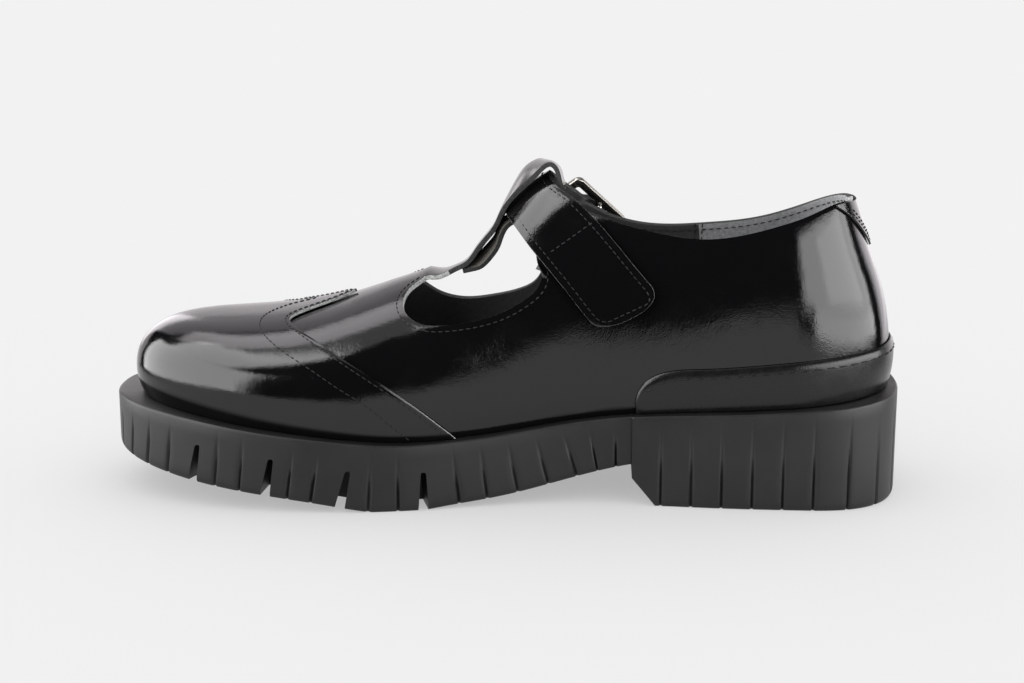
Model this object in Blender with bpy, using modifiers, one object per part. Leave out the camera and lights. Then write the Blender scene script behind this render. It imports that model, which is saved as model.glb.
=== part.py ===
"""A right shoe with a T-strap, a wing-tip cap and a moulded lug sole.

The frame is in metres: +X runs to the toe, +Y to the wearer's left, which is the inner side
of a right foot, and +Z up. The origin is on the floor, in the middle of the shoe's outline.
The shoe's own tables are in shares of a few driving dimensions, and its details in millimetres.
"""

import math
from collections import namedtuple

import bmesh
import bpy
import numpy as np

MM = 0.001

# Driving dimensions, in millimetres
LENGTH = 274.0  # outer length of the sole
BALL_WIDTH = 98.0  # outer width of the sole across the ball
INSTEP = 100.0  # height above the floor that the form's ridge reaches under the strap
HEEL_HEIGHT = 40.0  # height of the sole's top edge at the back of the heel
MIDDLE = 2.2  # the sole's middle, forward of the tables' zero

WALL = 1.6  # the upper's leather with its lining
GAP = 0.3  # between pieces that meet
CAP_WALL = 1.1
RAND_WALL = 1.3
STRAP_WALL = 1.8
CHAPE_WALL = 1.3
TAB_WALL = 0.7
INSOLE_WALL = 3.0

# The form: the outer face of the upper, which is the last plus its leather.
# station is a share of LENGTH from mid-length; centre, half and lean are shares of BALL_WIDTH;
# fullest and ridge are shares of INSTEP; all in percent. shoulder is how square a section is.
Form = namedtuple("Form", "station centre half fullest ridge lean shoulder")
FORM = [
    Form(-49.3, 0.0, 32.9, 47.0, 118.0, 0.0, 2.3),
    Form(-36.2, 0.0, 33.0, 47.0, 119.0, 0.5, 2.3),
    Form(-26.1, -0.3, 32.6, 45.0, 117.0, 1.5, 2.2),
    Form(-16.7, -1.4, 32.3, 42.0, 112.5, 2.5, 2.1),
    Form(-8.0, -2.6, 33.6, 39.0, 105.3, 3.0, 2.0),
    Form(0.0, -2.9, 37.2, 36.0, 93.8, 3.0, 2.0),
    Form(7.2, -2.3, 41.4, 34.0, 80.8, 2.5, 2.0),
    Form(11.1, -1.8, 43.1, 33.5, 74.8, 2.1, 2.0),
    Form(14.6, -1.2, 44.4, 33.5, 71.4, 1.8, 2.0),
    Form(21.8, 0.2, 45.2, 35.0, 64.7, 1.0, 2.2),
    Form(29.8, 1.8, 44.5, 37.0, 60.8, 0.5, 2.6),
    Form(38.6, 3.3, 43.8, 40.0, 60.6, 0.0, 3.7),
    Form(49.2, 4.9, 43.2, 41.5, 63.8, 0.0, 5.2),
]
TOE_START, TOE_TIP = 16.6, 47.85  # where the plan begins to close at the toe, percent of LENGTH
HEEL_START = -34.1  # where it begins to close at the heel
SIDE_POWER, TOE_POWER, HEEL_POWER, TOP_POWER = 2.25, 2.35, 2.2, 2.3
TUCK_DEPTH = 42.0  # how slowly a section draws in below its fullest level
TOE_TUCK = 3.0  # how much faster it does so round the toe

# The back of the heel: its distance behind mid-length at each height above the floor
Back = namedtuple("Back", "height behind")
HEEL_BACK = [
    Back(30.0, 130.4),
    Back(38.0, 131.0),
    Back(48.0, 131.7),
    Back(56.0, 131.3),
    Back(64.0, 130.1),
    Back(74.0, 127.5),
    Back(86.0, 123.0),
    Back(98.0, 118.7),
    Back(116.0, 112.3),
]

# The sole. top and bottom are shares of HEEL_HEIGHT in percent; bottom is the forepart's tread.
Sole = namedtuple("Sole", "station centre half top bottom")
SOLE = [
    Sole(-50.0, 0.2, 36.2, 95.5, 44.0),
    Sole(-36.2, 0.2, 36.2, 86.5, 44.0),
    Sole(-26.1, -0.2, 35.9, 82.0, 42.0),
    Sole(-16.7, -1.6, 35.4, 78.5, 37.0),
    Sole(-8.0, -2.8, 36.7, 71.5, 22.5),
    Sole(0.0, -3.0, 40.4, 63.0, 9.0),
    Sole(7.2, -2.4, 44.8, 58.5, 2.2),
    Sole(13.0, -1.4, 48.0, 57.8, -1.6),
    Sole(21.7, 0.1, 49.6, 62.3, 6.0),
    Sole(29.7, 1.7, 49.8, 68.0, 13.8),
    Sole(38.4, 3.2, 49.5, 75.6, 21.5),
    Sole(50.5, 4.6, 49.3, 84.5, 36.0),
]
SOLE_TOE_POWER, SOLE_HEEL_POWER = 2.3, 2.5
SOLE_TOE_START, SOLE_HEEL_START = 17.0, -37.0
BREAST = -42.8  # the front of the heel block
BREAST_BEVEL_RUN, BREAST_BEVEL_RISE = 8.0, 9.5
HEEL_PROUD = 0.9  # how far the heel block stands out from the forepart's side
EDGE_ROUND = 2.4  # the tread's rounded lower edge
TIP_START = 0.9  # half the width of the small flat at the toe's tip and the heel's middle
BREAST_STEP = 0.4
LEAN_FADE = 16.0  # how far ahead of the breast the grooves' lean dies out

# The side's upright grooves, and the open notches that take the place of every third of them
NOTCH_FIRST, NOTCH_STEP, NOTCH_COUNT = 27.0, 25.75, 4
RIB_PITCH_TOE = 9.4  # along the outline ahead of the notches
RIB_PITCH_ARCH = 9.15  # along the shoe behind them
RIB_PITCH_HEEL = 10.25  # along the side of the heel
RIB_HEEL_FIRST, RIB_HEEL_COUNT = -52.6, 6
RIB_HEEL_ROUND = 4  # grooves round each half of the heel's back
RIB_WIDTH = 1.7
RIB_DEPTH = 0.9
RIB_START = 4.8  # how far below the top edge a groove begins
NOTCH_FOOT, NOTCH_HEAD = 3.5, 1.9
NOTCH_HEIGHT = 13.6
NOTCH_DEPTH = 13.0

# The top edge of the upper, inner side, from the heel's seam to the root of the T-bar. A row
# gives a place near the form's surface, and foot, the share of the sole's edge where the column
# of leather below it ends: 0 at the heel's seam and 50 percent at the toe's tip.
Edge = namedtuple("Edge", "x y z foot")
TOPLINE_INNER = [
    Edge(-117.9, 0.0, 102.4, 0.0),
    Edge(-115.0, 10.5, 102.2, 1.5),
    Edge(-109.0, 18.5, 101.8, 3.2),
    Edge(-100.5, 24.2, 98.8, 5.6),
    Edge(-90.6, 25.9, 95.5, 8.2),
    Edge(-79.0, 26.6, 92.5, 10.6),
    Edge(-66.3, 26.3, 90.9, 12.9),
    Edge(-57.0, 25.3, 91.4, 14.4),
    Edge(-47.0, 23.7, 93.2, 15.7),
    Edge(-37.0, 21.6, 95.6, 16.9),
    Edge(-28.0, 18.3, 98.9, 17.9),
    Edge(-22.6, 17.0, 100.2, 18.5),
    Edge(-18.6, 17.4, 97.8, 18.9),
    Edge(-12.4, 19.7, 91.2, 19.6),
    Edge(-9.6, 22.4, 86.4, 20.1),
    Edge(-10.0, 24.9, 82.2, 20.5),
    Edge(-11.6, 26.6, 77.9, 21.0),
    Edge(-9.9, 28.0, 73.5, 21.8),
    Edge(-5.4, 29.1, 69.7, 22.9),
    Edge(-0.4, 30.2, 66.8, 24.0),
    Edge(11.0, 32.0, 63.2, 26.5),
    Edge(21.0, 32.8, 61.9, 28.7),
    Edge(29.5, 31.4, 62.2, 30.9),
    Edge(34.6, 27.4, 65.2, 33.0),
    Edge(35.9, 20.5, 68.9, 35.7),
    Edge(33.6, 13.8, 72.2, 38.9),
    Edge(30.0, 10.0, 74.8, 42.3),
]
# The outer side, from the root of the T-bar back to the heel's seam
TOPLINE_OUTER = [
    Edge(30.0, -8.0, 74.8, 57.7),
    Edge(33.8, -12.0, 72.0, 61.1),
    Edge(35.4, -18.6, 68.4, 64.3),
    Edge(33.0, -27.4, 63.6, 67.1),
    Edge(27.6, -33.2, 58.5, 69.4),
    Edge(20.4, -34.9, 56.5, 71.3),
    Edge(10.0, -34.6, 57.8, 73.5),
    Edge(-1.0, -33.4, 61.1, 75.8),
    Edge(-6.4, -32.4, 64.4, 77.0),
    Edge(-9.4, -30.8, 69.8, 78.1),
    Edge(-10.2, -28.6, 76.4, 79.0),
    Edge(-9.0, -26.6, 81.6, 79.6),
    Edge(-8.6, -24.0, 86.2, 80.1),
    Edge(-11.0, -21.4, 90.4, 80.5),
    Edge(-18.6, -18.8, 96.8, 81.1),
    Edge(-23.4, -18.6, 97.9, 81.5),
    Edge(-28.6, -21.0, 95.0, 82.1),
    Edge(-36.6, -23.8, 90.8, 83.1),
    Edge(-45.6, -25.6, 88.6, 84.3),
    Edge(-57.0, -26.8, 88.0, 85.6),
    Edge(-68.4, -27.2, 88.6, 87.4),
    Edge(-79.4, -27.0, 89.4, 89.4),
    Edge(-90.2, -26.4, 91.2, 91.8),
    Edge(-100.4, -24.4, 94.4, 94.4),
    Edge(-109.2, -19.0, 98.6, 96.8),
    Edge(-115.0, -10.8, 101.4, 98.5),
]
COLUMN_SPACING = 5.4  # along the top edge
FOOT_SPACING = 2.0  # along the sole's edge, in percent of it
UPPER_ROWS = 9
BEND_WEIGHT = 0.5  # how strongly rows gather where a section bends

# The T-bar: the outer face's middle line, from the throat up over the strap and down behind it,
# with half the bar's width, how much higher its outer edge stands than its inner one, and how far
# its edges bow down from its middle
T_BAR_BOW = 0.55
Bar = namedtuple("Bar", "x z half tilt bow", defaults=[T_BAR_BOW])
T_BAR = [
    Bar(25.2, 75.0, 8.6, -0.4),
    Bar(20.4, 76.7, 8.2, -1.6),
    Bar(15.8, 79.2, 8.0, -1.6),
    Bar(12.3, 83.9, 8.0, -1.5),
    Bar(8.9, 88.2, 8.0, -1.5),
    Bar(6.1, 92.0, 8.1, -1.5),
    Bar(4.2, 96.2, 8.2, -1.4),
    Bar(0.8, 102.9, 8.4, 1.4),
    Bar(-4.2, 109.3, 8.5, 4.4),
    Bar(-6.6, 111.2, 8.5, 3.8),
    Bar(-9.1, 113.0, 8.5, 2.0),
    Bar(-11.6, 113.9, 8.4, -0.6),
    Bar(-14.0, 113.7, 8.4, -1.8),
    Bar(-16.0, 112.2, 8.3, -1.4),
    Bar(-16.9, 110.2, 8.2, -0.8),
    Bar(-17.4, 108.0, 8.1, -0.4),
    Bar(-17.6, 106.0, 8.1, 0.0),
]
# Its return under the strap: close to the form at first, then by its own height again
T_BAR_UNDER = [
    Bar(-17.0, 103.6, 8.0, 0.0),
    Bar(-15.0, 101.8, 8.0, 0.0),
    Bar(-11.0, 99.8, 8.0, 0.0),
    Bar(-6.0, 97.0, 8.0, 0.0),
    Bar(-1.6, 94.4, 8.0, 0.0),
]
T_BAR_END = [
    Bar(2.4, 92.0, 8.0, 1.8, 1.5),
    Bar(4.4, 87.5, 7.9, 2.0, 1.8),
    Bar(7.2, 83.4, 7.8, 2.4, 1.8),
    Bar(10.6, 79.6, 7.6, 2.4, 1.5),
    Bar(13.6, 76.7, 7.4, 0.3, 0.8),
    Bar(16.6, 74.8, 7.2, -1.4, 0.5),
]
T_BAR_CENTRE = 1.0
T_BAR_BOW_LEAN = 0.5
T_BAR_COLUMNS = 6
T_BAR_SPACING = 3.6
T_BAR_SINK = 0.5  # how far its return lies inside the form
INSOLE_MARGIN = 1.6

# The wing-tip cap's rear edge, from the sole's edge on the inner side over the vamp to the outer
WING = [
    Edge(18.6, 38.8, 25.6, 27.8),
    Edge(28.3, 40.1, 33.9, 29.6),
    Edge(41.4, 41.6, 43.4, 32.2),
    Edge(53.0, 40.0, 50.2, 34.4),
    Edge(62.6, 35.2, 54.9, 36.4),
    Edge(70.0, 28.8, 57.6, 38.0),
    Edge(74.6, 22.4, 59.2, 39.6),
    Edge(75.6, 17.9, 60.4, 41.2),
    Edge(72.8, 13.1, 62.3, 43.2),
    Edge(66.2, 8.0, 64.4, 45.2),
    Edge(59.0, 3.4, 66.2, 47.6),
    Edge(55.2, -1.0, 67.0, 50.0),
    Edge(59.0, -5.4, 66.2, 52.4),
    Edge(66.2, -9.4, 64.4, 54.8),
    Edge(72.8, -13.8, 62.3, 56.8),
    Edge(75.6, -18.2, 60.4, 58.8),
    Edge(74.6, -22.8, 59.2, 60.4),
    Edge(70.0, -29.0, 57.6, 62.0),
    Edge(62.6, -35.2, 54.9, 63.6),
    Edge(53.0, -40.6, 50.2, 65.6),
    Edge(41.4, -43.2, 43.4, 67.8),
    Edge(28.3, -42.8, 33.9, 70.4),
    Edge(18.6, -41.2, 25.6, 72.2),
]
WING_ROWS = 12
CAP_OFFSET = 0.5  # the cap stands off the form by this, clear of the upper's facets

# The heel band's top edge on the inner side, from its front corner to the heel's seam
RAND = [
    Edge(-43.4, 30.2, 35.0, 17.4),
    Edge(-44.6, 30.3, 39.6, 17.2),
    Edge(-48.0, 30.4, 43.6, 16.7),
    Edge(-54.0, 30.6, 46.3, 15.7),
    Edge(-65.0, 31.1, 47.5, 13.9),
    Edge(-85.0, 31.9, 49.2, 10.6),
    Edge(-98.0, 32.0, 50.6, 8.4),
    Edge(-112.0, 29.4, 52.0, 5.9),
    Edge(-123.0, 22.6, 53.0, 3.6),
    Edge(-130.0, 12.0, 53.8, 1.7),
    Edge(-132.0, 0.0, 54.2, 0.0),
]
RAND_ROWS = 4
BAND_SPACING, BAND_FOOT_SPACING = 6.5, 1.35  # along a band's edge, and the sole's in percent
BAND_EDGE = 0.6  # how thin a band is skived at its edge

# The strap lies across the instep in a frame of its own: across is measured up the instep's
# ridge and along down and back, both at 45 degrees, from the shoe's origin.
STRAP_ACROSS = 76.0
STRAP_INNER_END = -15.6  # the sewn, rounded end on the inner side
STRAP_OUTER_END = -17.0  # the free tip on the outer side
STRAP_COLUMNS = 4
STRAP_ROWS = 36
STRAP_CORNER = 7.0  # how much of an end its rounding takes up
STRAP_SKEW = 0.31  # how much further its rear corner reaches at the sewn end
STRAP_SKEW_FROM = 42.0
STRAP_RISE, STRAP_ARCH, STRAP_LEAN = 1.6, 1.2, 2.4  # its edges', middle's and rear edge's rise at the ridge
STRAP_ARCH_REACH = 12.0
STRAP_AXIS = -24.0  # the place, on the strap's line, that its section is cast from
STRAP_AXIS_Y = -1.5
# How far the strap's under face stands off the form, by its place along it: distance is
# measured from the ridge, negative on the outer side
Lift = namedtuple("Lift", "distance lift")
BUCKLE_AT = -33.0  # the centre bar, as a distance from the ridge
STRAP_LIFT = [
    Lift(-75.0, 2.0),
    Lift(BUCKLE_AT - 16.0, 2.1),
    Lift(BUCKLE_AT - 11.0, 2.3),
    Lift(BUCKLE_AT - 8.0, 3.3),
    Lift(BUCKLE_AT - 5.2, 5.0),
    Lift(BUCKLE_AT - 2.8, 6.5),
    Lift(BUCKLE_AT, 7.1),
    Lift(BUCKLE_AT + 2.6, 6.4),
    Lift(BUCKLE_AT + 5.0, 4.9),
    Lift(BUCKLE_AT + 8.0, 3.1),
    Lift(BUCKLE_AT + 11.0, 2.9),
    Lift(BUCKLE_AT + 15.0, 2.6),
    Lift(-11.0, 2.4),
    Lift(-5.0, 2.3),
    Lift(0.0, 2.3),
    Lift(6.0, 2.4),
    Lift(12.0, 2.3),
    Lift(18.0, 1.5),
    Lift(23.0, 0.7),
    Lift(30.0, GAP + 0.1),
    Lift(70.0, GAP + 0.1),
]
# How far the strap reaches to each side of its line
Side = namedtuple("Side", "distance front rear")
STRAP_SIDES = [
    Side(-62.0, 10.0, 10.0),
    Side(-40.0, 9.8, 9.6),
    Side(-28.0, 8.6, 9.2),
    Side(-18.0, 8.8, 8.9),
    Side(-8.0, 9.5, 8.3),
    Side(0.0, 9.5, 8.2),
    Side(7.0, 9.5, 8.0),
    Side(11.0, 9.5, 8.8),
    Side(15.0, 9.5, 10.4),
    Side(22.0, 9.6, 12.0),
    Side(34.0, 9.9, 12.5),
    Side(44.0, 10.6, 12.2),
    Side(54.0, 11.4, 11.6),
    Side(63.0, 11.6, 11.4),
]

BUCKLE_LENGTH = 28.0
BUCKLE_HALF_WIDTH = 14.0
BUCKLE_BAR = 3.0  # width of the frame's bars
BUCKLE_THICK = 2.2
FRAME_CORNER, FRAME_CORNER_INSIDE, FRAME_CORNER_STEPS = 2.6, 0.8, 4
FRAME_LIFT = 5.2  # the middle of the frame's thickness, off the form at its centre
PIN_LIFT = 3.35
PIN_RADIUS = 0.9
PRONG_RADIUS = 0.8

SEAM_TAB_HALF = 18.5  # half its width along the top edge
SEAM_TAB_DROP = 16.0  # how far it reaches down the heel's seam
SEAM_TAB_MARGIN = 0.6  # between it and the top edge
SEAM_TAB_LEAN = 0.33  # the heel's slope there
SEAM_TAB_RIM = 3  # the top edge's rows on each side that it lies along
SEAM_TAB_COLUMNS, SEAM_TAB_ROWS = 11, 5

# The chape holds the buckle's centre bar. It is sewn to the outer side, runs up under the bar,
# turns round it and comes back. A row is a place along the strap's line and a height off the form.
CHAPE = [
    Lift(BUCKLE_AT - 26.0, GAP),
    Lift(BUCKLE_AT - 22.0, GAP),
    Lift(BUCKLE_AT - 16.0, GAP),
    Lift(BUCKLE_AT - 10.0, GAP),
    Lift(BUCKLE_AT - 5.0, 0.6),
    Lift(BUCKLE_AT - 2.2, 0.9),
    Lift(BUCKLE_AT - 0.1, 0.9),
    Lift(BUCKLE_AT + 1.9, 1.5),
    Lift(BUCKLE_AT + 2.9, 3.6),
    Lift(BUCKLE_AT + 2.1, 5.8),
    Lift(BUCKLE_AT, 6.6),
    Lift(BUCKLE_AT - 2.3, 5.8),
    Lift(BUCKLE_AT - 4.4, 4.6),
]
CHAPE_HALF = 8.6
CHAPE_SLOT_HALF = 1.5
CHAPE_SLOT_ROWS = (6, 11)  # the rows between which the prong's slot is open

# The prong turns on the centre bar, comes up through the strap and rests on the frame's upper bar
PRONG = [
    Lift(BUCKLE_AT - 0.6, 5.45),
    Lift(BUCKLE_AT + 0.6, 5.7),
    Lift(BUCKLE_AT + 2.4, 6.3),
    Lift(BUCKLE_AT + 4.8, 7.1),
    Lift(BUCKLE_AT + 7.4, 8.0),
    Lift(BUCKLE_AT + 10.2, 8.9),
    Lift(BUCKLE_AT + 12.4, 9.5),
    Lift(BUCKLE_AT + 14.8, 10.1),
]
HOLE_AT = BUCKLE_AT + 3.2  # the strap's hole that the prong comes through
HOLE_HALF_WIDTH, HOLE_HALF_LENGTH = 1.5, 5.0

PI = math.pi


# --- small numeric helpers -------------------------------------------------------------------


def spline(knots, values, at):
    """A natural cubic spline through the knots, held still beyond its ends."""
    knots = np.asarray(knots, float)
    values = np.asarray(values, float)
    count = len(knots)
    step = np.diff(knots)
    slope = np.diff(values) / step
    matrix = np.eye(count)
    right = np.zeros(count)
    for i in range(1, count - 1):
        matrix[i, i - 1 : i + 2] = step[i - 1], 2 * (step[i - 1] + step[i]), step[i]
        right[i] = 6 * (slope[i] - slope[i - 1])
    bend = np.linalg.solve(matrix, right)
    at = np.clip(at, knots[0], knots[-1])
    i = np.clip(np.searchsorted(knots, at) - 1, 0, count - 2)
    a = (knots[i + 1] - at) / step[i]
    b = 1 - a
    curve = (a**3 - a) * bend[i] + (b**3 - b) * bend[i + 1]
    return a * values[i] + b * values[i + 1] + curve * step[i] ** 2 / 6


def column(table, key, name, at, key_scale=1.0, scale=1.0):
    """One named column of a table, read between its rows."""
    knots = [getattr(row, key) * key_scale for row in table]
    values = [getattr(row, name) * scale for row in table]
    return spline(knots, values, at)


def form_column(name, x, scale=1.0):
    return column(FORM, "station", name, x, LENGTH / 100, scale)


def sole_column(name, x, scale=1.0):
    return column(SOLE, "station", name, x, LENGTH / 100, scale)


def path_length(points):
    """Distance along a path of points at each of them."""
    steps = np.linalg.norm(np.diff(points, axis=0), axis=1)
    return np.concatenate([[0.0], np.cumsum(steps)])


def along(points, distances):
    """Points at given distances along a path."""
    lengths = path_length(points)
    return np.stack([np.interp(distances, lengths, points[:, i]) for i in range(points.shape[1])], axis=1)


# --- the form --------------------------------------------------------------------------------


def form_value(points):
    """Below zero inside the form, zero on its face and above zero outside."""
    x, y, z = points[..., 0], points[..., 1], points[..., 2]
    centre = form_column("centre", x, BALL_WIDTH / 100)
    half = form_column("half", x, BALL_WIDTH / 100)
    fullest = form_column("fullest", x, INSTEP / 100)
    ridge = form_column("ridge", x, INSTEP / 100)
    lean = form_column("lean", x, BALL_WIDTH / 100)
    shoulder = form_column("shoulder", x)
    rise = np.clip((z - fullest) / (ridge - fullest), 0, None)
    drop = np.clip((fullest - z) / TUCK_DEPTH, 0, None)
    side = np.abs(y - centre - lean * np.minimum(rise, 1.2) ** 2) / half
    toe_start, toe_tip = TOE_START * LENGTH / 100, TOE_TIP * LENGTH / 100
    toe = np.clip((x - toe_start) / (toe_tip - toe_start), 0, None)
    heel_start = HEEL_START * LENGTH / 100
    back = -column(HEEL_BACK, "height", "behind", z)
    level = np.clip(1 - rise**TOP_POWER, 1e-4, None) ** (1 / shoulder)
    heel = np.clip((heel_start - x) / (heel_start - back), 0, None) * level ** (SIDE_POWER / HEEL_POWER)
    plan = (side**SIDE_POWER + toe**TOE_POWER + heel**HEEL_POWER) ** (1 / SIDE_POWER)
    tuck = drop**2 * (1 + TOE_TUCK * np.minimum(toe, 1.5) ** 4)
    return plan**shoulder + rise**TOP_POWER + tuck - 1


def form_normal(points):
    """The direction straight out of the form, and how fast its value grows that way."""
    grown = np.zeros_like(points)
    for i in range(3):
        step = np.zeros(3)
        step[i] = 0.02
        grown[..., i] = (form_value(points + step) - form_value(points - step)) / 0.04
    size = np.linalg.norm(grown, axis=-1, keepdims=True)
    return grown / np.maximum(size, 1e-9), size[..., 0]


def on_form(points, offset=0.0, rounds=12):
    """The points moved straight to the form's face, then out by an offset."""
    points = np.array(points, float)
    for _ in range(rounds):
        normal, size = form_normal(points)
        step = np.clip(form_value(points) / np.maximum(size, 1e-6), -5, 5)
        points = points - normal * step[..., None]
    normal, _ = form_normal(points)
    return points + normal * np.asarray(offset)[..., None]


def bed_height(x):
    """The sole's top face, on which the upper stands."""
    return sole_column("top", x, HEEL_HEIGHT / 100)


def sole_edge_loop(samples=720):
    """The line where the form meets the sole, from the heel's seam by the inner side."""
    angles = PI - np.arange(samples + 1) * 2 * PI / samples
    across = np.stack([np.cos(angles), np.sin(angles)], axis=1)
    near, far = np.zeros(samples + 1), np.full(samples + 1, 150.0)
    for _ in range(40):
        middle = (near + far) / 2
        flat = across * middle[:, None]
        height = bed_height(flat[:, 0]) + GAP
        inside = form_value(np.column_stack([flat, height])) < 0
        near = np.where(inside, middle, near)
        far = np.where(inside, far, middle)
    flat = across * near[:, None]
    return np.column_stack([flat, bed_height(flat[:, 0]) + GAP])


def spine(points):
    """A point well inside the form, level with each of the points."""
    x = np.clip(points[..., 0], -92.0, 80.0)
    y = form_column("centre", x, BALL_WIDTH / 100)
    z = form_column("fullest", x, INSTEP / 100) + 8.0
    return np.stack([x, y, z], axis=-1)


def cast(points):
    """The points moved to the form's face along lines from its spine."""
    start = spine(points)
    ray = points - start
    ray = ray / np.linalg.norm(ray, axis=-1, keepdims=True)
    near, far = np.zeros(points.shape[:-1]), np.full(points.shape[:-1], 120.0)
    for _ in range(36):
        middle = (near + far) / 2
        inside = form_value(start + ray * middle[..., None]) < 0
        near = np.where(inside, middle, near)
        far = np.where(inside, far, middle)
    return start + ray * near[..., None]


def edge_columns(rows, spacing, foot_spacing):
    """Points along an edge of the form, with the foot of each, every row among them."""
    data = np.array([[row.x, row.y, row.z, row.foot] for row in rows])
    data[:, :3] = on_form(data[:, :3])
    lengths = path_length(data[:, :3])
    feet = np.diff(data[:, 3])
    at = []
    for start, end, foot in zip(lengths[:-1], lengths[1:], feet):
        count = max(1, round((end - start) / spacing), round(foot / foot_spacing))
        at.extend(np.linspace(start, end, count, endpoint=False))
    at.append(lengths[-1])
    at = np.array(at)
    tops = np.stack([spline(lengths, data[:, i], at) for i in range(3)], axis=1)
    return on_form(tops), np.interp(at, lengths, data[:, 3]) / 100


def bend_spaced(line, count):
    """Places along a line, evenly spread but closer together where it bends."""
    steps = np.diff(line, axis=0)
    sizes = np.linalg.norm(steps, axis=1)
    run = steps / sizes[:, None]
    turns = np.arccos(np.clip((run[1:] * run[:-1]).sum(axis=1), -1, 1))
    bend = np.concatenate([[0.0], np.cumsum(turns), [turns.sum()]])
    lengths = path_length(line)
    measure = lengths / lengths[-1] + BEND_WEIGHT * bend
    return np.interp(np.linspace(0, measure[-1], count), measure, lengths)


def band_grid(tops, feet, rows):
    """Rows of points on the form between the sole's edge and an upper edge."""
    loop = sole_edge_loop()
    bottoms = along(loop, (feet % 1.0) * path_length(loop)[-1])
    shares = np.linspace(0, 1, 41)[:, None, None]
    fan = cast(bottoms + (tops - bottoms) * shares)
    lines = [fan[:, k] for k in range(len(tops))]
    return on_form([along(line, bend_spaced(line, rows + 1)) for line in lines])


def off_form(grid, offset):
    """A grid's points moved straight out by an offset and kept over the sole, the first row on it."""
    normal, _ = form_normal(grid)
    moved = grid + normal * offset
    over = bed_height(moved[..., 0]) + GAP
    moved[..., 2] = np.maximum(moved[..., 2], over)
    moved[:, 0, 2] = over[:, 0]
    return moved


# --- Blender helpers -------------------------------------------------------------------------


def clear_scene():
    for item in list(bpy.data.objects):
        bpy.data.objects.remove(item, do_unlink=True)
    for group in list(bpy.data.collections):
        bpy.data.collections.remove(group)


def new_collection(name):
    group = bpy.data.collections.new(name)
    bpy.context.scene.collection.children.link(group)
    return group


def material(name, colour, roughness, metallic=0.0):
    made = bpy.data.materials.new(name)
    made.use_nodes = True
    shader = made.node_tree.nodes["Principled BSDF"]
    shader.inputs["Base Color"].default_value = (*colour, 1.0)
    shader.inputs["Roughness"].default_value = roughness
    shader.inputs["Metallic"].default_value = metallic
    return made


def mesh_object(name, group, points, faces, finish=None):
    """An object from points in millimetres, its faces turned outward where it is closed."""
    mesh = bpy.data.meshes.new(name)
    placed = (np.asarray(points) - [MIDDLE, 0.0, 0.0]) * MM
    mesh.from_pydata([tuple(point) for point in placed], [], faces)
    mesh.update()
    item = bpy.data.objects.new(name, mesh)
    group.objects.link(item)
    if finish is not None:
        mesh.materials.append(finish)
    mesh.shade_smooth()
    mesh.set_sharp_from_angle(angle=math.radians(35))
    return item


def grid_faces(across, up, closed=False, start=0):
    """Quads of a grid whose point (i, j) is number start + i * up + j."""
    faces = []
    for i in range(across if closed else across - 1):
        after = (i + 1) % across
        for j in range(up - 1):
            a, b = start + i * up + j, start + after * up + j
            faces.append((a, a + 1, b + 1, b))
    return faces


def shell_faces(across, up):
    """The faces of a closed wall between two grids of the same size, numbered one after the other."""
    count = across * up
    near = [face[::-1] for face in grid_faces(across, up)]
    far = grid_faces(across, up, start=count)
    rim = [i * up for i in range(across)] + [(across - 1) * up + j for j in range(1, up)]
    rim += [i * up + up - 1 for i in range(across - 2, -1, -1)] + list(range(up - 2, 0, -1))
    after = rim[1:] + rim[:1]
    return near + far + [(a, b, b + count, a + count) for a, b in zip(rim, after)]


def thicken(item, thickness, offset):
    """A wall of real thickness on an open face: offset -1 grows it inward, 1 outward."""
    shell = item.modifiers.new("wall", "SOLIDIFY")
    shell.thickness = thickness * MM
    shell.offset = offset
    return shell


def face_outward(item):
    """Turns the faces of a closed mesh outward."""
    shape = bmesh.new()
    shape.from_mesh(item.data)
    bmesh.ops.recalc_face_normals(shape, faces=shape.faces)
    shape.to_mesh(item.data)
    shape.free()


def cut(item, cutter):
    """Takes a cutter's shape out of an item."""
    boolean = item.modifiers.new("cut", "BOOLEAN")
    boolean.operation = "DIFFERENCE"
    boolean.solver = "EXACT"
    boolean.object = cutter
    cutter.hide_render = True
    cutter.display_type = "WIRE"


# --- sole ------------------------------------------------------------------------------------


def sole_half_width(x):
    """Half the sole's width at a station, closing to nothing at toe and heel."""
    half = sole_column("half", x, BALL_WIDTH / 100)
    toe_start, toe_tip = SOLE_TOE_START * LENGTH / 100, MIDDLE + LENGTH / 2
    heel_start, heel_tip = SOLE_HEEL_START * LENGTH / 100, MIDDLE + HEEL_PROUD - LENGTH / 2
    toe = np.clip((x - toe_start) / (toe_tip - toe_start), 0, 1)
    heel = np.clip((heel_start - x) / (heel_start - heel_tip), 0, 1)
    toe_share = np.clip(1 - toe**SOLE_TOE_POWER, 0, 1) ** (1 / SOLE_TOE_POWER)
    heel_share = np.clip(1 - heel**SOLE_HEEL_POWER, 0, 1) ** (1 / SOLE_HEEL_POWER)
    return half * toe_share * heel_share


def sole_side(side, samples=1200):
    """One side of the sole's outline, from the middle of the heel to the tip of the toe."""
    turn = np.linspace(0, PI, samples)
    x = MIDDLE + (HEEL_PROUD - np.cos(turn) * (LENGTH - HEEL_PROUD)) / 2
    y = sole_column("centre", x, BALL_WIDTH / 100) + side * sole_half_width(x)
    return np.column_stack([x, y])


def tread_height(x):
    """The underside: the forepart's tread, the arch, the breast's bevel and the heel."""
    bottom = np.maximum(sole_column("bottom", x, HEEL_HEIGHT / 100), 0.0)
    bevel = BREAST_BEVEL_RISE * (x - BREAST + BREAST_BEVEL_RUN) / BREAST_BEVEL_RUN
    heel = np.clip(bevel, 0.0, BREAST_BEVEL_RISE)
    return np.where(x <= BREAST, heel, bottom)


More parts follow.
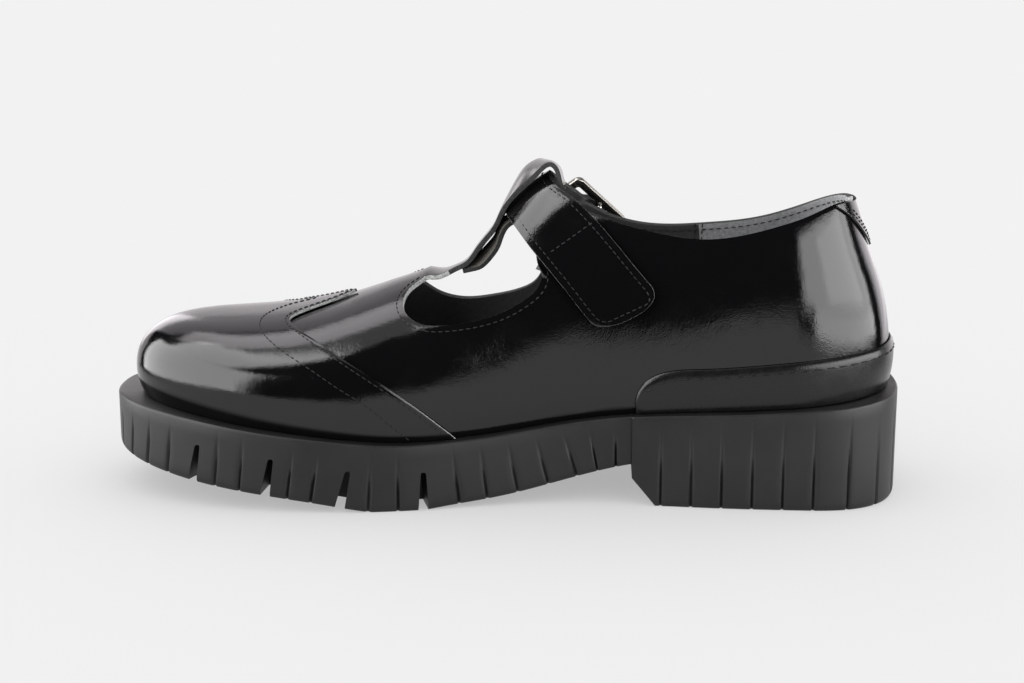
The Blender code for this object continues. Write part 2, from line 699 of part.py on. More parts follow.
class Outline:
    """One side of the sole's outline, measured from the tip of the toe."""

    def __init__(self, side):
        self.side = side
        self.path = sole_side(side)[::-1]
        self.lengths = path_length(self.path)
        self.whole = self.lengths[-1]
        self.breast = self.distance_at(BREAST)

    def distance_at(self, x):
        """How far from the tip of the toe the outline reaches a station."""
        return float(np.interp(-x, -self.path[:, 0], self.lengths))

    def place(self, distance):
        """The outline's point, its direction to the heel and its outward direction there."""
        at = [distance - 0.5, distance, distance + 0.5]
        back, point, ahead = along(self.path, np.clip(at, 0.0, self.whole))
        run = (ahead - back) / np.linalg.norm(ahead - back)
        out = np.array([-run[1], run[0]]) * -self.side
        return point, run, out


def groove_distances(outline):
    """The side's grooves, open notches and heel grooves, as distances from the toe's tip."""
    notches = [outline.distance_at(NOTCH_FIRST + k * NOTCH_STEP) for k in range(NOTCH_COUNT)]
    front = list(np.arange(notches[-1] - RIB_PITCH_TOE, RIB_PITCH_TOE / 3, -RIB_PITCH_TOE))
    for k in range(NOTCH_COUNT - 1):
        for share in (1 / 3, 2 / 3):
            front.append(outline.distance_at(NOTCH_FIRST + (k + share) * NOTCH_STEP))
    arch = np.arange(NOTCH_FIRST - RIB_PITCH_ARCH, BREAST + RIB_PITCH_ARCH / 3, -RIB_PITCH_ARCH)
    front += [outline.distance_at(x) for x in arch]
    heel = [outline.distance_at(RIB_HEEL_FIRST - k * RIB_PITCH_HEEL) for k in range(RIB_HEEL_COUNT)]
    pitch = (outline.whole - heel[-1]) / (RIB_HEEL_ROUND + 0.5)
    heel += [heel[-1] + (k + 1) * pitch for k in range(RIB_HEEL_ROUND)]
    return front, notches, heel


def side_stations(outline):
    """Where the sole's rings stand: a distance, a groove's depth, and whether it is heel."""
    front, notches, back = groove_distances(outline)
    stations = [(TIP_START, 0.0, False)]
    for groove in front:
        stations += [(groove - RIB_WIDTH / 2, 0.0, False), (groove, 1.0, False)]
        stations.append((groove + RIB_WIDTH / 2, 0.0, False))
    for notch in notches:
        stations.append((notch, 0.0, False))
    stations.append((outline.breast - BREAST_STEP, 0.0, False))
    stations.append((outline.breast, 0.0, True))
    stations.append((outline.breast + BREAST_BEVEL_RUN, 0.0, True))
    for groove in back:
        stations += [(groove - RIB_WIDTH / 2, 0.0, True), (groove, 1.0, True)]
        stations.append((groove + RIB_WIDTH / 2, 0.0, True))
    stations.append((outline.whole - TIP_START, 0.0, True))
    return sorted(stations)


def tread_slope(x):
    """How steeply the forepart's tread rises toward the toe, which its grooves lean with."""
    ends = np.maximum(sole_column("bottom", np.array([x - 6.0, x + 6.0]), HEEL_HEIGHT / 100), 0.0)
    fade = np.clip((x - BREAST) / LEAN_FADE - 0.3, 0.0, 1.0)
    return float((ends[1] - ends[0]) / 12.0 * fade)


def side_column(outline, distance, depth, is_heel):
    """The points down one side of the sole at a station, from its top edge to its tread."""
    point, run, _ = outline.place(distance)
    height = bed_height(point[0]) - tread_height(point[0])
    lean = 0.0 if is_heel else tread_slope(point[0]) * abs(run[0]) * height
    start = RIB_START / height
    round_share = 1 - EDGE_ROUND / height
    levels = [(0.0, 0.0, 0.5), (0.02, 0.0, 0.0), (start, 0.0, 0.0), (0.5, 0.75, 0.0)]
    levels += [(round_share, 1.0, 0.0), (1.0, 1.0, 1.1)]
    column_points = []
    for share, groove, inset in levels:
        place, _, out = outline.place(max(distance - lean * share, TIP_START / 2))
        proud = HEEL_PROUD if is_heel else 0.0
        x = BREAST + BREAST_STEP if not is_heel and place[0] < BREAST else place[0]
        top, bottom = bed_height(x), tread_height(min(x, BREAST) if is_heel else x)
        flat = place + out * (proud - inset - depth * groove * RIB_DEPTH)
        column_points.append([flat[0], flat[1], top + (bottom - top) * share])
    return column_points


def notch_profile():
    """A notch's face: upright at its rear, sloped at its front, round at its head."""
    half = NOTCH_HEAD / 2
    return [
        (half, -3.0),
        (half, NOTCH_HEIGHT - half),
        (half * 0.6, NOTCH_HEIGHT - half * 0.25),
        (-half * 0.6, NOTCH_HEIGHT - half * 0.25),
        (-half, NOTCH_HEIGHT - half),
        (half - NOTCH_FOOT, 0.0),
        (half - NOTCH_FOOT - 0.6, -3.0),
    ]


def build_notch_cutter(group, outlines):
    """All the notches' shapes as one cutter."""
    points, faces = [], []
    for outline in outlines:
        for distance in groove_distances(outline)[1]:
            place, run, out = outline.place(distance)
            floor = tread_height(place[0])
            slope = tread_slope(place[0])
            start = len(points)
            profile = notch_profile()
            for reach in (3.0, -NOTCH_DEPTH):
                for t, height in profile:
                    flat = place + run * (t + slope * (height - 10.0)) + out * reach
                    points.append([flat[0], flat[1], floor + height])
            count = len(profile)
            faces.append(tuple(range(start, start + count)))
            faces.append(tuple(range(start + count, start + 2 * count))[::-1])
            for k in range(count):
                after = (k + 1) % count
                faces.append((start + k, start + after, start + count + after, start + count + k))
    cutter = mesh_object("notches", group, points, faces)
    face_outward(cutter)
    return cutter


def build_sole(group, cutters, finish):
    """The moulded sole and heel, as rings of points from the toe back to the heel."""
    inner, outer = Outline(1), Outline(-1)
    rings = []
    for distance, depth, is_heel in side_stations(inner):
        station = inner.place(distance)[0][0]
        other = outer.distance_at(station)
        near = side_column(inner, distance, depth, is_heel)
        far = side_column(outer, other, depth, is_heel)
        rings.append(near + far[::-1])
    rings = np.array(rings)
    count, size = rings.shape[:2]
    faces = []
    for i in range(count - 1):
        for j in range(size):
            after = (j + 1) % size
            a, b = i * size, (i + 1) * size
            faces.append((a + j, b + j, b + after, a + after))
    faces.append(tuple(range(size)))
    faces.append(tuple(range((count - 1) * size, count * size))[::-1])
    sole = mesh_object("sole", group, rings.reshape(-1, 3), faces, finish)
    face_outward(sole)
    cut(sole, build_notch_cutter(cutters, (inner, outer)))
    return sole


# --- upper -----------------------------------------------------------------------------------


def t_bar_rows(root):
    """The rows of the T-bar above its root, each across from the inner side to the outer."""
    table = T_BAR + T_BAR_UNDER + T_BAR_END
    middle = np.array(table)
    first = [root[:, 0].mean(), root[:, 2].max(), middle[0, 2], 0.0, T_BAR_BOW]
    path = np.vstack([first, middle])
    lengths = path_length(path[:, :2])
    under = lengths[len(T_BAR) + 1], lengths[len(T_BAR) + len(T_BAR_UNDER)]
    count = round(lengths[-1] / T_BAR_SPACING)
    rows = []
    for at in np.linspace(0, lengths[-1], count + 1)[1:]:
        x, z, half, tilt, bow = (float(spline(lengths, path[:, i], at)) for i in range(5))
        share = np.linspace(1, -1, T_BAR_COLUMNS + 1)
        bow = bow * share**2
        height = z - bow - share * tilt / 2
        row = np.column_stack([x - T_BAR_BOW_LEAN * bow, share * half + T_BAR_CENTRE, height])
        if under[0] <= at <= under[1]:
            row = on_form(row, -T_BAR_SINK)
        rows.append(row)
    return rows


def build_upper(group, finish):
    """The vamp, quarters and T-bar as one wall, open at the collar, the cut-outs and below."""
    outer_edge = TOPLINE_OUTER + [TOPLINE_INNER[0]._replace(foot=100.0)]
    inner_tops, inner_feet = edge_columns(TOPLINE_INNER, COLUMN_SPACING, FOOT_SPACING)
    outer_tops, outer_feet = edge_columns(outer_edge, COLUMN_SPACING, FOOT_SPACING)
    shares = np.linspace(0, 1, T_BAR_COLUMNS + 1)[1:-1]
    root = inner_tops[-1] + (outer_tops[0] - inner_tops[-1]) * shares[:, None]
    root = on_form(root + [0.0, 0.0, 1.5])
    root_feet = inner_feet[-1] + (outer_feet[0] - inner_feet[-1]) * shares
    tops = np.vstack([inner_tops, root, outer_tops[:-1]])
    feet = np.concatenate([inner_feet, root_feet, outer_feet[:-1]])
    grid = off_form(band_grid(tops, feet, UPPER_ROWS), 0.0)
    columns, rows = grid.shape[:2]
    points = list(grid.reshape(-1, 3))
    faces = grid_faces(columns, rows, closed=True)
    first = len(inner_tops) - 1
    below = [(first + k) * rows + rows - 1 for k in range(T_BAR_COLUMNS + 1)]
    for row in t_bar_rows(grid[first : first + T_BAR_COLUMNS + 1, -1]):
        start = len(points)
        points.extend(row)
        above = [start + k for k in range(T_BAR_COLUMNS + 1)]
        for k in range(T_BAR_COLUMNS):
            faces.append((below[k], above[k], above[k + 1], below[k + 1]))
        below = above
    upper = mesh_object("upper", group, points, faces, finish)
    thicken(upper, WALL, -1)
    return upper


def build_band(name, group, edge, rows, offset, wall, finish):
    """A piece laid on the upper between the sole's edge and an edge of its own, thinner there."""
    tops, feet = edge_columns(edge, BAND_SPACING, BAND_FOOT_SPACING)
    grid = band_grid(tops, feet, rows)
    thick = np.full(grid.shape[:2], wall)
    thick[:, -1] = wall * BAND_EDGE
    thick[[0, -1]] = wall * BAND_EDGE
    near, far = off_form(grid, offset), off_form(grid, offset + thick[..., None])
    points = np.concatenate([near.reshape(-1, 3), far.reshape(-1, 3)])
    band = mesh_object(name, group, points, shell_faces(*grid.shape[:2]), finish)
    face_outward(band)
    return band


def build_rand(group, finish):
    """The heel band, round the back from its outer front corner to its inner one."""
    outer = [Edge(row.x, -row.y, row.z, -row.foot) for row in RAND[:-1]]
    return build_band("heel_rand", group, outer + RAND[::-1], RAND_ROWS, GAP, RAND_WALL, finish)


def build_seam_tab(group, finish):
    """The patch over the top of the heel's seam, deepest in the middle."""
    rim = TOPLINE_OUTER[-SEAM_TAB_RIM:] + TOPLINE_INNER[: SEAM_TAB_RIM + 1]
    rim_y = [row.y for row in rim]
    points = []
    for share in np.linspace(-1, 1, SEAM_TAB_COLUMNS):
        y = share * SEAM_TAB_HALF
        x, z = np.interp(y, rim_y, [row.x for row in rim]), np.interp(y, rim_y, [row.z for row in rim])
        drop = SEAM_TAB_DROP * (1 - abs(share) ** 1.6) + SEAM_TAB_MARGIN
        for level in np.linspace(1, 0, SEAM_TAB_ROWS):
            fall = SEAM_TAB_MARGIN + drop * level
            points.append([x - SEAM_TAB_LEAN * fall, y, z - fall])
    points = on_form(points, GAP)
    faces = grid_faces(SEAM_TAB_COLUMNS, SEAM_TAB_ROWS)
    tab = mesh_object("seam_tab", group, points, faces, finish)
    thicken(tab, TAB_WALL, 1)
    return tab


def build_insole(group, finish):
    """The insole, inside the wall, on the sole."""
    loop = sole_edge_loop()
    at = np.linspace(0, path_length(loop)[-1], 65)[:-1]
    edge = along(loop, at)
    ahead, back = np.roll(edge, -1, axis=0), np.roll(edge, 1, axis=0)
    run = (ahead - back)[:, :2]
    run = run / np.linalg.norm(run, axis=1, keepdims=True)
    inward = np.column_stack([run[:, 1], -run[:, 0]])
    flat = edge[:, :2] + inward * (WALL + INSOLE_MARGIN)
    half = len(flat) // 2
    rows = [[flat[0]]] + [[flat[k], flat[-k]] for k in range(1, half)] + [[flat[half]]]
    points, faces = [], []
    for level in (GAP, GAP + INSOLE_WALL):
        for pair in rows:
            for place in pair:
                points.append([place[0], place[1], bed_height(place[0]) + level])
    layer = 2 * len(rows) - 2
    for base in (0, layer):
        faces.append((base, base + 1, base + 2))
        for k in range(len(rows) - 3):
            a = base + 1 + 2 * k
            faces.append((a, a + 2, a + 3, a + 1))
        faces.append((base + layer - 3, base + layer - 1, base + layer - 2))
    rim = [0] + [1 + 2 * k for k in range(len(rows) - 2)] + [layer - 1]
    rim += [2 + 2 * k for k in range(len(rows) - 2)][::-1]
    for k, place in enumerate(rim):
        after = rim[(k + 1) % len(rim)]
        faces.append((place, after, layer + after, layer + place))
    insole = mesh_object("insole", group, points, faces, finish)
    face_outward(insole)
    return insole


# --- strap and buckle ------------------------------------------------------------------------


class StrapLine:
    """Places over the instep, by distance from the ridge, across the strap and off the form."""

    def __init__(self):
        self.angles = np.radians(np.linspace(-125, 125, 251))
        section = self.cast(np.full(251, STRAP_ACROSS), self.angles)
        lengths = path_length(section)
        down = -(section[:, 0] + section[:, 2]) * math.sqrt(0.5)
        ridge = np.argmin(down)
        self.distances = lengths - lengths[ridge]
        self.down = down

    def cast(self, across, angles):
        """The form's face in the strap's planes, at angles from its ridge."""
        start = self.place(across, np.full_like(across, STRAP_AXIS), np.full_like(across, STRAP_AXIS_Y))
        up = np.cos(angles) * math.sqrt(0.5)
        ray = np.column_stack([up, np.sin(angles), up])
        near, far = np.zeros(len(across)), np.full(len(across), 90.0)
        for _ in range(36):
            middle = (near + far) / 2
            inside = form_value(start + ray * middle[:, None]) < 0
            near = np.where(inside, middle, near)
            far = np.where(inside, far, middle)
        return start + ray * near[:, None]

    @staticmethod
    def place(across, down, y):
        root = math.sqrt(0.5)
        return np.column_stack([-(across + down) * root, y, (across - down) * root])

    def distance_at(self, down, side):
        """How far from the ridge the form's face is at a place down the strap's line."""
        if side > 0:
            chosen = self.distances > 0
            return float(np.interp(down, self.down[chosen], self.distances[chosen]))
        chosen = self.distances < 0
        return float(np.interp(down, self.down[chosen][::-1], self.distances[chosen][::-1]))

    def points(self, across, distance, lift):
        """Places given by share across from the middle in millimetres, distance and lift."""
        across = np.asarray(across, float)
        angles = np.interp(distance, self.distances, self.angles)
        faces = self.cast(STRAP_ACROSS + across, angles)
        normal, _ = form_normal(faces)
        return faces + normal * np.asarray(lift, float)[:, None]


def lift_at(table, distance):
    return spline([row.distance for row in table], [row.lift for row in table], distance)


def rounded_half(distance, end, half, corner):
    """Half the width of a strip whose end at distance end is rounded."""
    inside = np.clip(abs(end - distance) / corner, 0, 1)
    return half * np.clip(1 - (1 - inside) ** 2.6, 0.0, 1) ** (1 / 2.2)


def strap_row(distance, ends, shares):
    """Places across the strap's under face, shares from 1 at its rear edge to -1 at its front."""
    distances = [row.distance for row in STRAP_SIDES]
    front = spline(distances, [row.front for row in STRAP_SIDES], distance)
    rear = spline(distances, [row.rear for row in STRAP_SIDES], distance)
    shares = np.asarray(shares, float)
    across = np.where(shares > 0, shares * rear, shares * front)
    across = across * min(rounded_half(distance, end, 1.0, STRAP_CORNER) for end in ends)
    skew = STRAP_SKEW * np.clip((distance - STRAP_SKEW_FROM) / (ends[0] - STRAP_SKEW_FROM), 0, 1)
    crown = math.exp(-((distance / STRAP_ARCH_REACH) ** 2))
    rise = STRAP_RISE + STRAP_ARCH * (1 - shares**2) + STRAP_LEAN * shares
    return across, distance + skew * across, lift_at(STRAP_LIFT, distance) + crown * rise


def build_strap(line, group, cutters, finish):
    """The cross strap, from its sewn end over the instep and through the buckle to its tip."""
    inner_end = line.distance_at(STRAP_INNER_END, 1)
    outer_end = line.distance_at(STRAP_OUTER_END, -1)
    body = np.linspace(outer_end + 6.0, inner_end - 6.0, STRAP_ROWS)
    tip = [outer_end + step for step in (0.25, 1.0, 3.0)]
    sewn = [inner_end - step for step in (3.0, 1.0, 0.25)]
    shares = np.linspace(1, -1, STRAP_COLUMNS + 1)
    points = []
    for distance in np.concatenate([tip, body, sewn]):
        points.append(line.points(*strap_row(distance, (inner_end, outer_end), shares)))
    points = np.array(points)
    count, size = points.shape[:2]
    strap = mesh_object("cross_strap", group, points.reshape(-1, 3), grid_faces(count, size), finish)
    thicken(strap, STRAP_WALL, 1)
    cut(strap, build_hole_cutter(line, cutters))
    return strap


def build_hole_cutter(line, group):
    """The oval that the prong's hole takes out of the strap."""
    turns = np.linspace(0, 2 * PI, 12, endpoint=False)
    across = np.cos(turns) * HOLE_HALF_WIDTH
    distance = HOLE_AT + np.sin(turns) * HOLE_HALF_LENGTH
    low = line.points(across, distance, np.full(12, 1.0))
    high = line.points(across, distance, np.full(12, 11.0))
    faces = [tuple(range(12)), tuple(range(12, 24))[::-1]]
    faces += [(k, (k + 1) % 12, 12 + (k + 1) % 12, 12 + k) for k in range(12)]
    cutter = mesh_object("prong_hole", group, np.vstack([low, high]), faces)
    face_outward(cutter)
    return cutter


def build_chape(line, group, finish):
    """The strip that holds the buckle, turned round its centre bar, with the prong's slot."""
    slot = CHAPE_SLOT_HALF
    wide = CHAPE_HALF
    end = CHAPE[0].distance
    points = []
    for row in CHAPE:
        half = max(rounded_half(row.distance, end - 0.2, wide, STRAP_CORNER), slot + 1.2)
        across = np.array([half, (half + slot) / 2, slot, -slot, -(half + slot) / 2, -half])
        points.append(line.points(across, np.full(6, row.distance), np.full(6, row.lift)))
    points = np.array(points)
    count, size = points.shape[:2]
    first, last = CHAPE_SLOT_ROWS
    faces = []
    for face in grid_faces(count, size):
        row, place = divmod(face[0], size)
        if place == 2 and first <= row < last:
            continue
        faces.append(face)
    chape = mesh_object("buckle_chape", group, points.reshape(-1, 3), faces, finish)
    thicken(chape, CHAPE_WALL, 1)
    return chape


class FramePlane:
    """The flat plane of the buckle, touching the side of the foot's curve at its centre."""

    def __init__(self, line):
        reach = BUCKLE_LENGTH / 2
        ends = line.points([0.0, 0.0], [BUCKLE_AT - reach, BUCKLE_AT + reach], [0.0, 0.0])
        sides = line.points([-reach, reach], [BUCKLE_AT, BUCKLE_AT], [0.0, 0.0])
        self.up = (ends[1] - ends[0]) / np.linalg.norm(ends[1] - ends[0])
        across = sides[1] - sides[0]
        across = across - self.up * (across @ self.up)
        self.across = across / np.linalg.norm(across)
        self.out = np.cross(self.up, self.across)
        centre = line.points([0.0], [BUCKLE_AT], [0.0])[0]
        outward = line.points([0.0], [BUCKLE_AT], [1.0])[0] - centre
        if self.out @ outward < 0:
            self.out = -self.out
        self.centre = centre

    def place(self, up, across, lift):
        """Places in the plane's own directions, from the form under its centre."""
        up, across = np.asarray(up)[:, None], np.asarray(across)[:, None]
        return self.centre + self.up * up + self.across * across + self.out * lift


def rounded_rectangle(half_length, half_width, corner, steps):
    """Points round a rectangle with round corners, by length and width."""
    points = []
    for quarter in range(4):
        start = quarter * PI / 2
        centre_x = (half_length - corner) * (1 if quarter in (0, 3) else -1)
        centre_y = (half_width - corner) * (1 if quarter in (0, 1) else -1)
        for step in range(steps + 1):
            turn = start + step * PI / 2 / steps
            points.append([centre_x + corner * math.cos(turn), centre_y + corner * math.sin(turn)])
    return np.array(points)


def build_frame(plane, group, finish):
    """The buckle's frame: a flat ring with round corners."""
    length, width = BUCKLE_LENGTH / 2, BUCKLE_HALF_WIDTH
    outer = rounded_rectangle(length, width, FRAME_CORNER, FRAME_CORNER_STEPS)
    opening = length - BUCKLE_BAR, width - BUCKLE_BAR
    inner = rounded_rectangle(*opening, FRAME_CORNER_INSIDE, FRAME_CORNER_STEPS)
    half = BUCKLE_THICK / 2
    loops = []
    for ring, rise in ((outer, -half), (outer, half), (inner, half), (inner, -half)):
        loops.append(plane.place(ring[:, 0], ring[:, 1], FRAME_LIFT + rise))
    loops = np.array(loops).transpose(1, 0, 2)
    count = len(loops)
    faces = []
    for i in range(count):
        after = (i + 1) % count
        for j in range(4):
            down = (j + 1) % 4
            faces.append((4 * i + j, 4 * after + j, 4 * after + down, 4 * i + down))
    frame = mesh_object("buckle_frame", group, loops.reshape(-1, 3), faces, finish)
    face_outward(frame)
    return frame


def build_rod(name, group, points, radius, finish):
    """A round rod along a path, from a curve turned into a mesh with closed ends."""
    curve = bpy.data.curves.new(name, "CURVE")
    curve.dimensions = "3D"
    curve.bevel_depth = radius * MM
    curve.bevel_resolution = 3
    curve.use_fill_caps = True
    rod = curve.splines.new("POLY")
    rod.points.add(len(points) - 1)
    for knot, place in zip(rod.points, (np.asarray(points) - [MIDDLE, 0.0, 0.0]) * MM):
        knot.co = (*place, 1.0)
    drawn = bpy.data.objects.new(name + "_line", curve)
    group.objects.link(drawn)
    bpy.context.view_layer.update()
    graph = bpy.context.evaluated_depsgraph_get()
    mesh = bpy.data.meshes.new_from_object(drawn.evaluated_get(graph))
    shape = bmesh.new()
    shape.from_mesh(mesh)
    bmesh.ops.remove_doubles(shape, verts=shape.verts, dist=1e-5)
    bmesh.ops.recalc_face_normals(shape, faces=shape.faces)
    shape.to_mesh(mesh)
    shape.free()
    bpy.data.objects.remove(drawn, do_unlink=True)
    mesh.name = name
    mesh.materials.append(finish)
    item = bpy.data.objects.new(name, mesh)
    group.objects.link(item)
    mesh.shade_smooth()
    mesh.set_sharp_from_angle(angle=math.radians(35))
    return item


def build_pin(line, group, finish):
    """The centre bar between the frame's sides."""
    half = BUCKLE_HALF_WIDTH - BUCKLE_BAR - 2 * GAP
    ends = line.points([-half, half], [BUCKLE_AT, BUCKLE_AT], [PIN_LIFT, PIN_LIFT])
    return build_rod("buckle_bar", group, ends, PIN_RADIUS, finish)


def build_prong(line, group, finish):
    distances = np.array([row.distance for row in PRONG])
    lifts = np.array([row.lift for row in PRONG])
    path = line.points(np.zeros(len(PRONG)), distances, lifts)
    return build_rod("buckle_prong", group, path, PRONG_RADIUS, finish)


# --- the shoe --------------------------------------------------------------------------------


def main():
    clear_scene()
    shoe = new_collection("t_strap_shoe")
    cutters = new_collection("cutters")
    leather = material("black leather", (0.012, 0.011, 0.013), 0.18)
    rubber = material("charcoal rubber", (0.03, 0.03, 0.031), 0.62)
    band = material("matt black band", (0.018, 0.018, 0.018), 0.5)
    sock = material("grey sock leather", (0.09, 0.09, 0.095), 0.7)
    metal = material("gunmetal", (0.35, 0.34, 0.32), 0.32, 1.0)
    build_sole(shoe, cutters, rubber)
    build_upper(shoe, leather)
    build_insole(shoe, sock)
    build_band("toe_cap", shoe, WING, WING_ROWS, CAP_OFFSET, CAP_WALL, leather)
    build_rand(shoe, band)
    build_seam_tab(shoe, leather)
    line = StrapLine()
    build_strap(line, shoe, cutters, leather)
    build_chape(line, shoe, leather)
    plane = FramePlane(line)
    build_frame(plane, shoe, metal)
    build_pin(line, shoe, metal)
    build_prong(line, shoe, metal)


main()
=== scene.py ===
"""A T-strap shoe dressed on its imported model: leather, lining, thread, rubber and metal.

Tables and sections are in millimetres, from a zero that lies MIDDLE behind the shoe's middle;
shell() and its like turn them into the model's metres.
"""

import math
from collections import namedtuple

import bmesh
import bpy
import numpy as np
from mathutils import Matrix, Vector


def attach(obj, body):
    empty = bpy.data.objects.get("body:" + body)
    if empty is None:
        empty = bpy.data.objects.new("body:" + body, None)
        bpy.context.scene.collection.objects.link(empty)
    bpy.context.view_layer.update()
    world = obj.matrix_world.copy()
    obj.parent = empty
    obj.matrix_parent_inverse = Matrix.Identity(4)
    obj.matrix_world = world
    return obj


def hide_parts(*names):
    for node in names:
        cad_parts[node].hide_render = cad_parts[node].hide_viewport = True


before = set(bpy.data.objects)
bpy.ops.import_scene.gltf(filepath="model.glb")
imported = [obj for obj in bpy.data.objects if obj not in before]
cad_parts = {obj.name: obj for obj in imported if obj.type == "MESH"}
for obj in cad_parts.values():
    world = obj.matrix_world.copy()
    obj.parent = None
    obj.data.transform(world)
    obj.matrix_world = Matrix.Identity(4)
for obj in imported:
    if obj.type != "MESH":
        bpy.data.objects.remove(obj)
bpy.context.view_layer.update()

MM = 0.001
PI = math.pi

# Driving dimensions, in millimetres
LENGTH = 274.0  # outer length of the sole
BALL_WIDTH = 98.0  # outer width of the sole across the ball
INSTEP = 100.0  # height above the floor that the form's ridge reaches under the strap
HEEL_HEIGHT = 40.0  # height of the sole's top edge at the back of the heel
MIDDLE = 2.2  # the sole's middle, forward of the tables' zero

WALL = 1.6  # the upper's leather with its lining
GAP = 0.3  # between pieces that meet
CAP_WALL = 1.1
RAND_WALL = 1.3
STRAP_WALL = 1.8
CHAPE_WALL = 1.3
TAB_WALL = 0.7
INSOLE_WALL = 3.0


def table(kind, *rows):
    """A table's rows, each with the names of its columns."""
    return [kind(*row) for row in rows]


# The form: the outer face of the upper, which is the last plus its leather.
# station is a share of LENGTH from mid-length; centre, half and lean are shares of BALL_WIDTH;
# fullest and ridge are shares of INSTEP; all in percent. shoulder is how square a section is.
Form = namedtuple("Form", "station centre half fullest ridge lean shoulder")
FORM = table(
    Form,
    (-49.3, 0.0, 32.9, 47.0, 118.0, 0.0, 2.3), (-36.2, 0.0, 33.0, 47.0, 119.0, 0.5, 2.3),
    (-26.1, -0.3, 32.6, 45.0, 117.0, 1.5, 2.2), (-16.7, -1.4, 32.3, 42.0, 112.5, 2.5, 2.1),
    (-8.0, -2.6, 33.6, 39.0, 105.3, 3.0, 2.0), (0.0, -2.9, 37.2, 36.0, 93.8, 3.0, 2.0),
    (7.2, -2.3, 41.4, 34.0, 80.8, 2.5, 2.0), (11.1, -1.8, 43.1, 33.5, 74.8, 2.1, 2.0),
    (14.6, -1.2, 44.4, 33.5, 71.4, 1.8, 2.0), (21.8, 0.2, 45.2, 35.0, 64.7, 1.0, 2.2),
    (29.8, 1.8, 44.5, 37.0, 60.8, 0.5, 2.6), (38.6, 3.3, 43.8, 40.0, 60.6, 0.0, 3.7),
    (49.2, 4.9, 43.2, 41.5, 63.8, 0.0, 5.2),
)
TOE_START, TOE_TIP = 16.6, 47.85  # where the plan begins to close at the toe, percent of LENGTH
HEEL_START = -34.1  # where it begins to close at the heel
SIDE_POWER, TOE_POWER, HEEL_POWER, TOP_POWER = 2.25, 2.35, 2.2, 2.3
TUCK_DEPTH = 42.0  # how slowly a section draws in below its fullest level
TOE_TUCK = 3.0  # how much faster it does so round the toe
LEAN_LIMIT, TUCK_LIMIT = 1.2, 1.5  # shares of the rise and of the toe past which they grow no more
SPINE_FROM, SPINE_TO, SPINE_RISE = -92.0, 80.0, 8.0  # the line that sections are cast from

# What one unit of a column of the form's or the sole's table stands for
SCALES = dict.fromkeys(("centre", "half", "lean"), BALL_WIDTH / 100)
SCALES |= {"fullest": INSTEP / 100, "ridge": INSTEP / 100, "shoulder": 1.0}
SCALES |= {"top": HEEL_HEIGHT / 100, "bottom": HEEL_HEIGHT / 100}

# The back of the heel: its distance behind mid-length at each height above the floor
Back = namedtuple("Back", "height behind")
HEEL_BACK = table(
    Back,
    (30.0, 130.4), (38.0, 131.0), (48.0, 131.7), (56.0, 131.3), (64.0, 130.1), (74.0, 127.5),
    (86.0, 123.0), (98.0, 118.7), (116.0, 112.3),
)

# The sole. top and bottom are shares of HEEL_HEIGHT in percent; bottom is the forepart's tread.
Sole = namedtuple("Sole", "station centre half top bottom")
SOLE = table(
    Sole,
    (-50.0, 0.2, 36.2, 95.5, 44.0), (-36.2, 0.2, 36.2, 86.5, 44.0), (-26.1, -0.2, 35.9, 82.0, 42.0),
    (-16.7, -1.6, 35.4, 78.5, 37.0), (-8.0, -2.8, 36.7, 71.5, 22.5), (0.0, -3.0, 40.4, 63.0, 9.0),
    (7.2, -2.4, 44.8, 58.5, 2.2), (13.0, -1.4, 48.0, 57.8, -1.6), (21.7, 0.1, 49.6, 62.3, 6.0),
    (29.7, 1.7, 49.8, 68.0, 13.8), (38.4, 3.2, 49.5, 75.6, 21.5), (50.5, 4.6, 49.3, 84.5, 36.0),
)
SOLE_TOE_POWER, SOLE_HEEL_POWER = 2.3, 2.5
SOLE_TOE_START, SOLE_HEEL_START = 17.0, -37.0
BREAST = -42.8  # the front of the heel block
BREAST_BEVEL_RUN, BREAST_BEVEL_RISE = 8.0, 9.5
HEEL_PROUD = 0.9  # how far the heel block stands out from the forepart's side
EDGE_ROUND = 2.4  # the tread's rounded lower edge
TIP_START = 0.9  # half the width of the small flat at the toe's tip and the heel's middle
BREAST_STEP = 0.4  # between the forepart's last ring and the heel's first
LEAN_FADE, LEAN_START = 16.0, 0.3  # how far ahead of the breast the grooves' lean dies out
SLOPE_REACH = 6.0  # to each side of the place where the tread's slope is taken

# The side's upright grooves, and the open notches that take the place of every third of them
NOTCH_FIRST, NOTCH_STEP, NOTCH_COUNT = 27.0, 25.75, 4
RIB_PITCH_TOE = 9.4  # along the outline ahead of the notches
RIB_PITCH_ARCH = 9.15  # along the shoe behind them
RIB_PITCH_HEEL = 10.25  # along the side of the heel
RIB_HEEL_FIRST, RIB_HEEL_COUNT = -52.6, 6
RIB_HEEL_ROUND = 4  # grooves round each half of the heel's back
RIB_WIDTH = 1.7
RIB_DEPTH = 0.9
RIB_START = 4.8  # how far below the top edge a groove begins
NOTCH_FOOT, NOTCH_HEAD = 3.5, 1.9
NOTCH_HEIGHT = 13.6
NOTCH_DEPTH = 13.0
NOTCH_BELOW, NOTCH_AHEAD = 3.0, 3.0  # how far its cutter reaches past the tread and the side
NOTCH_LEAN_LEVEL = 10.0  # the height about which a notch leans
NOTCH_FLAT, NOTCH_ROUND = 0.6, 0.25  # its head's flat and round, in halves of its width there
NOTCH_FLARE = 0.6  # how much wider its cutter is below the tread

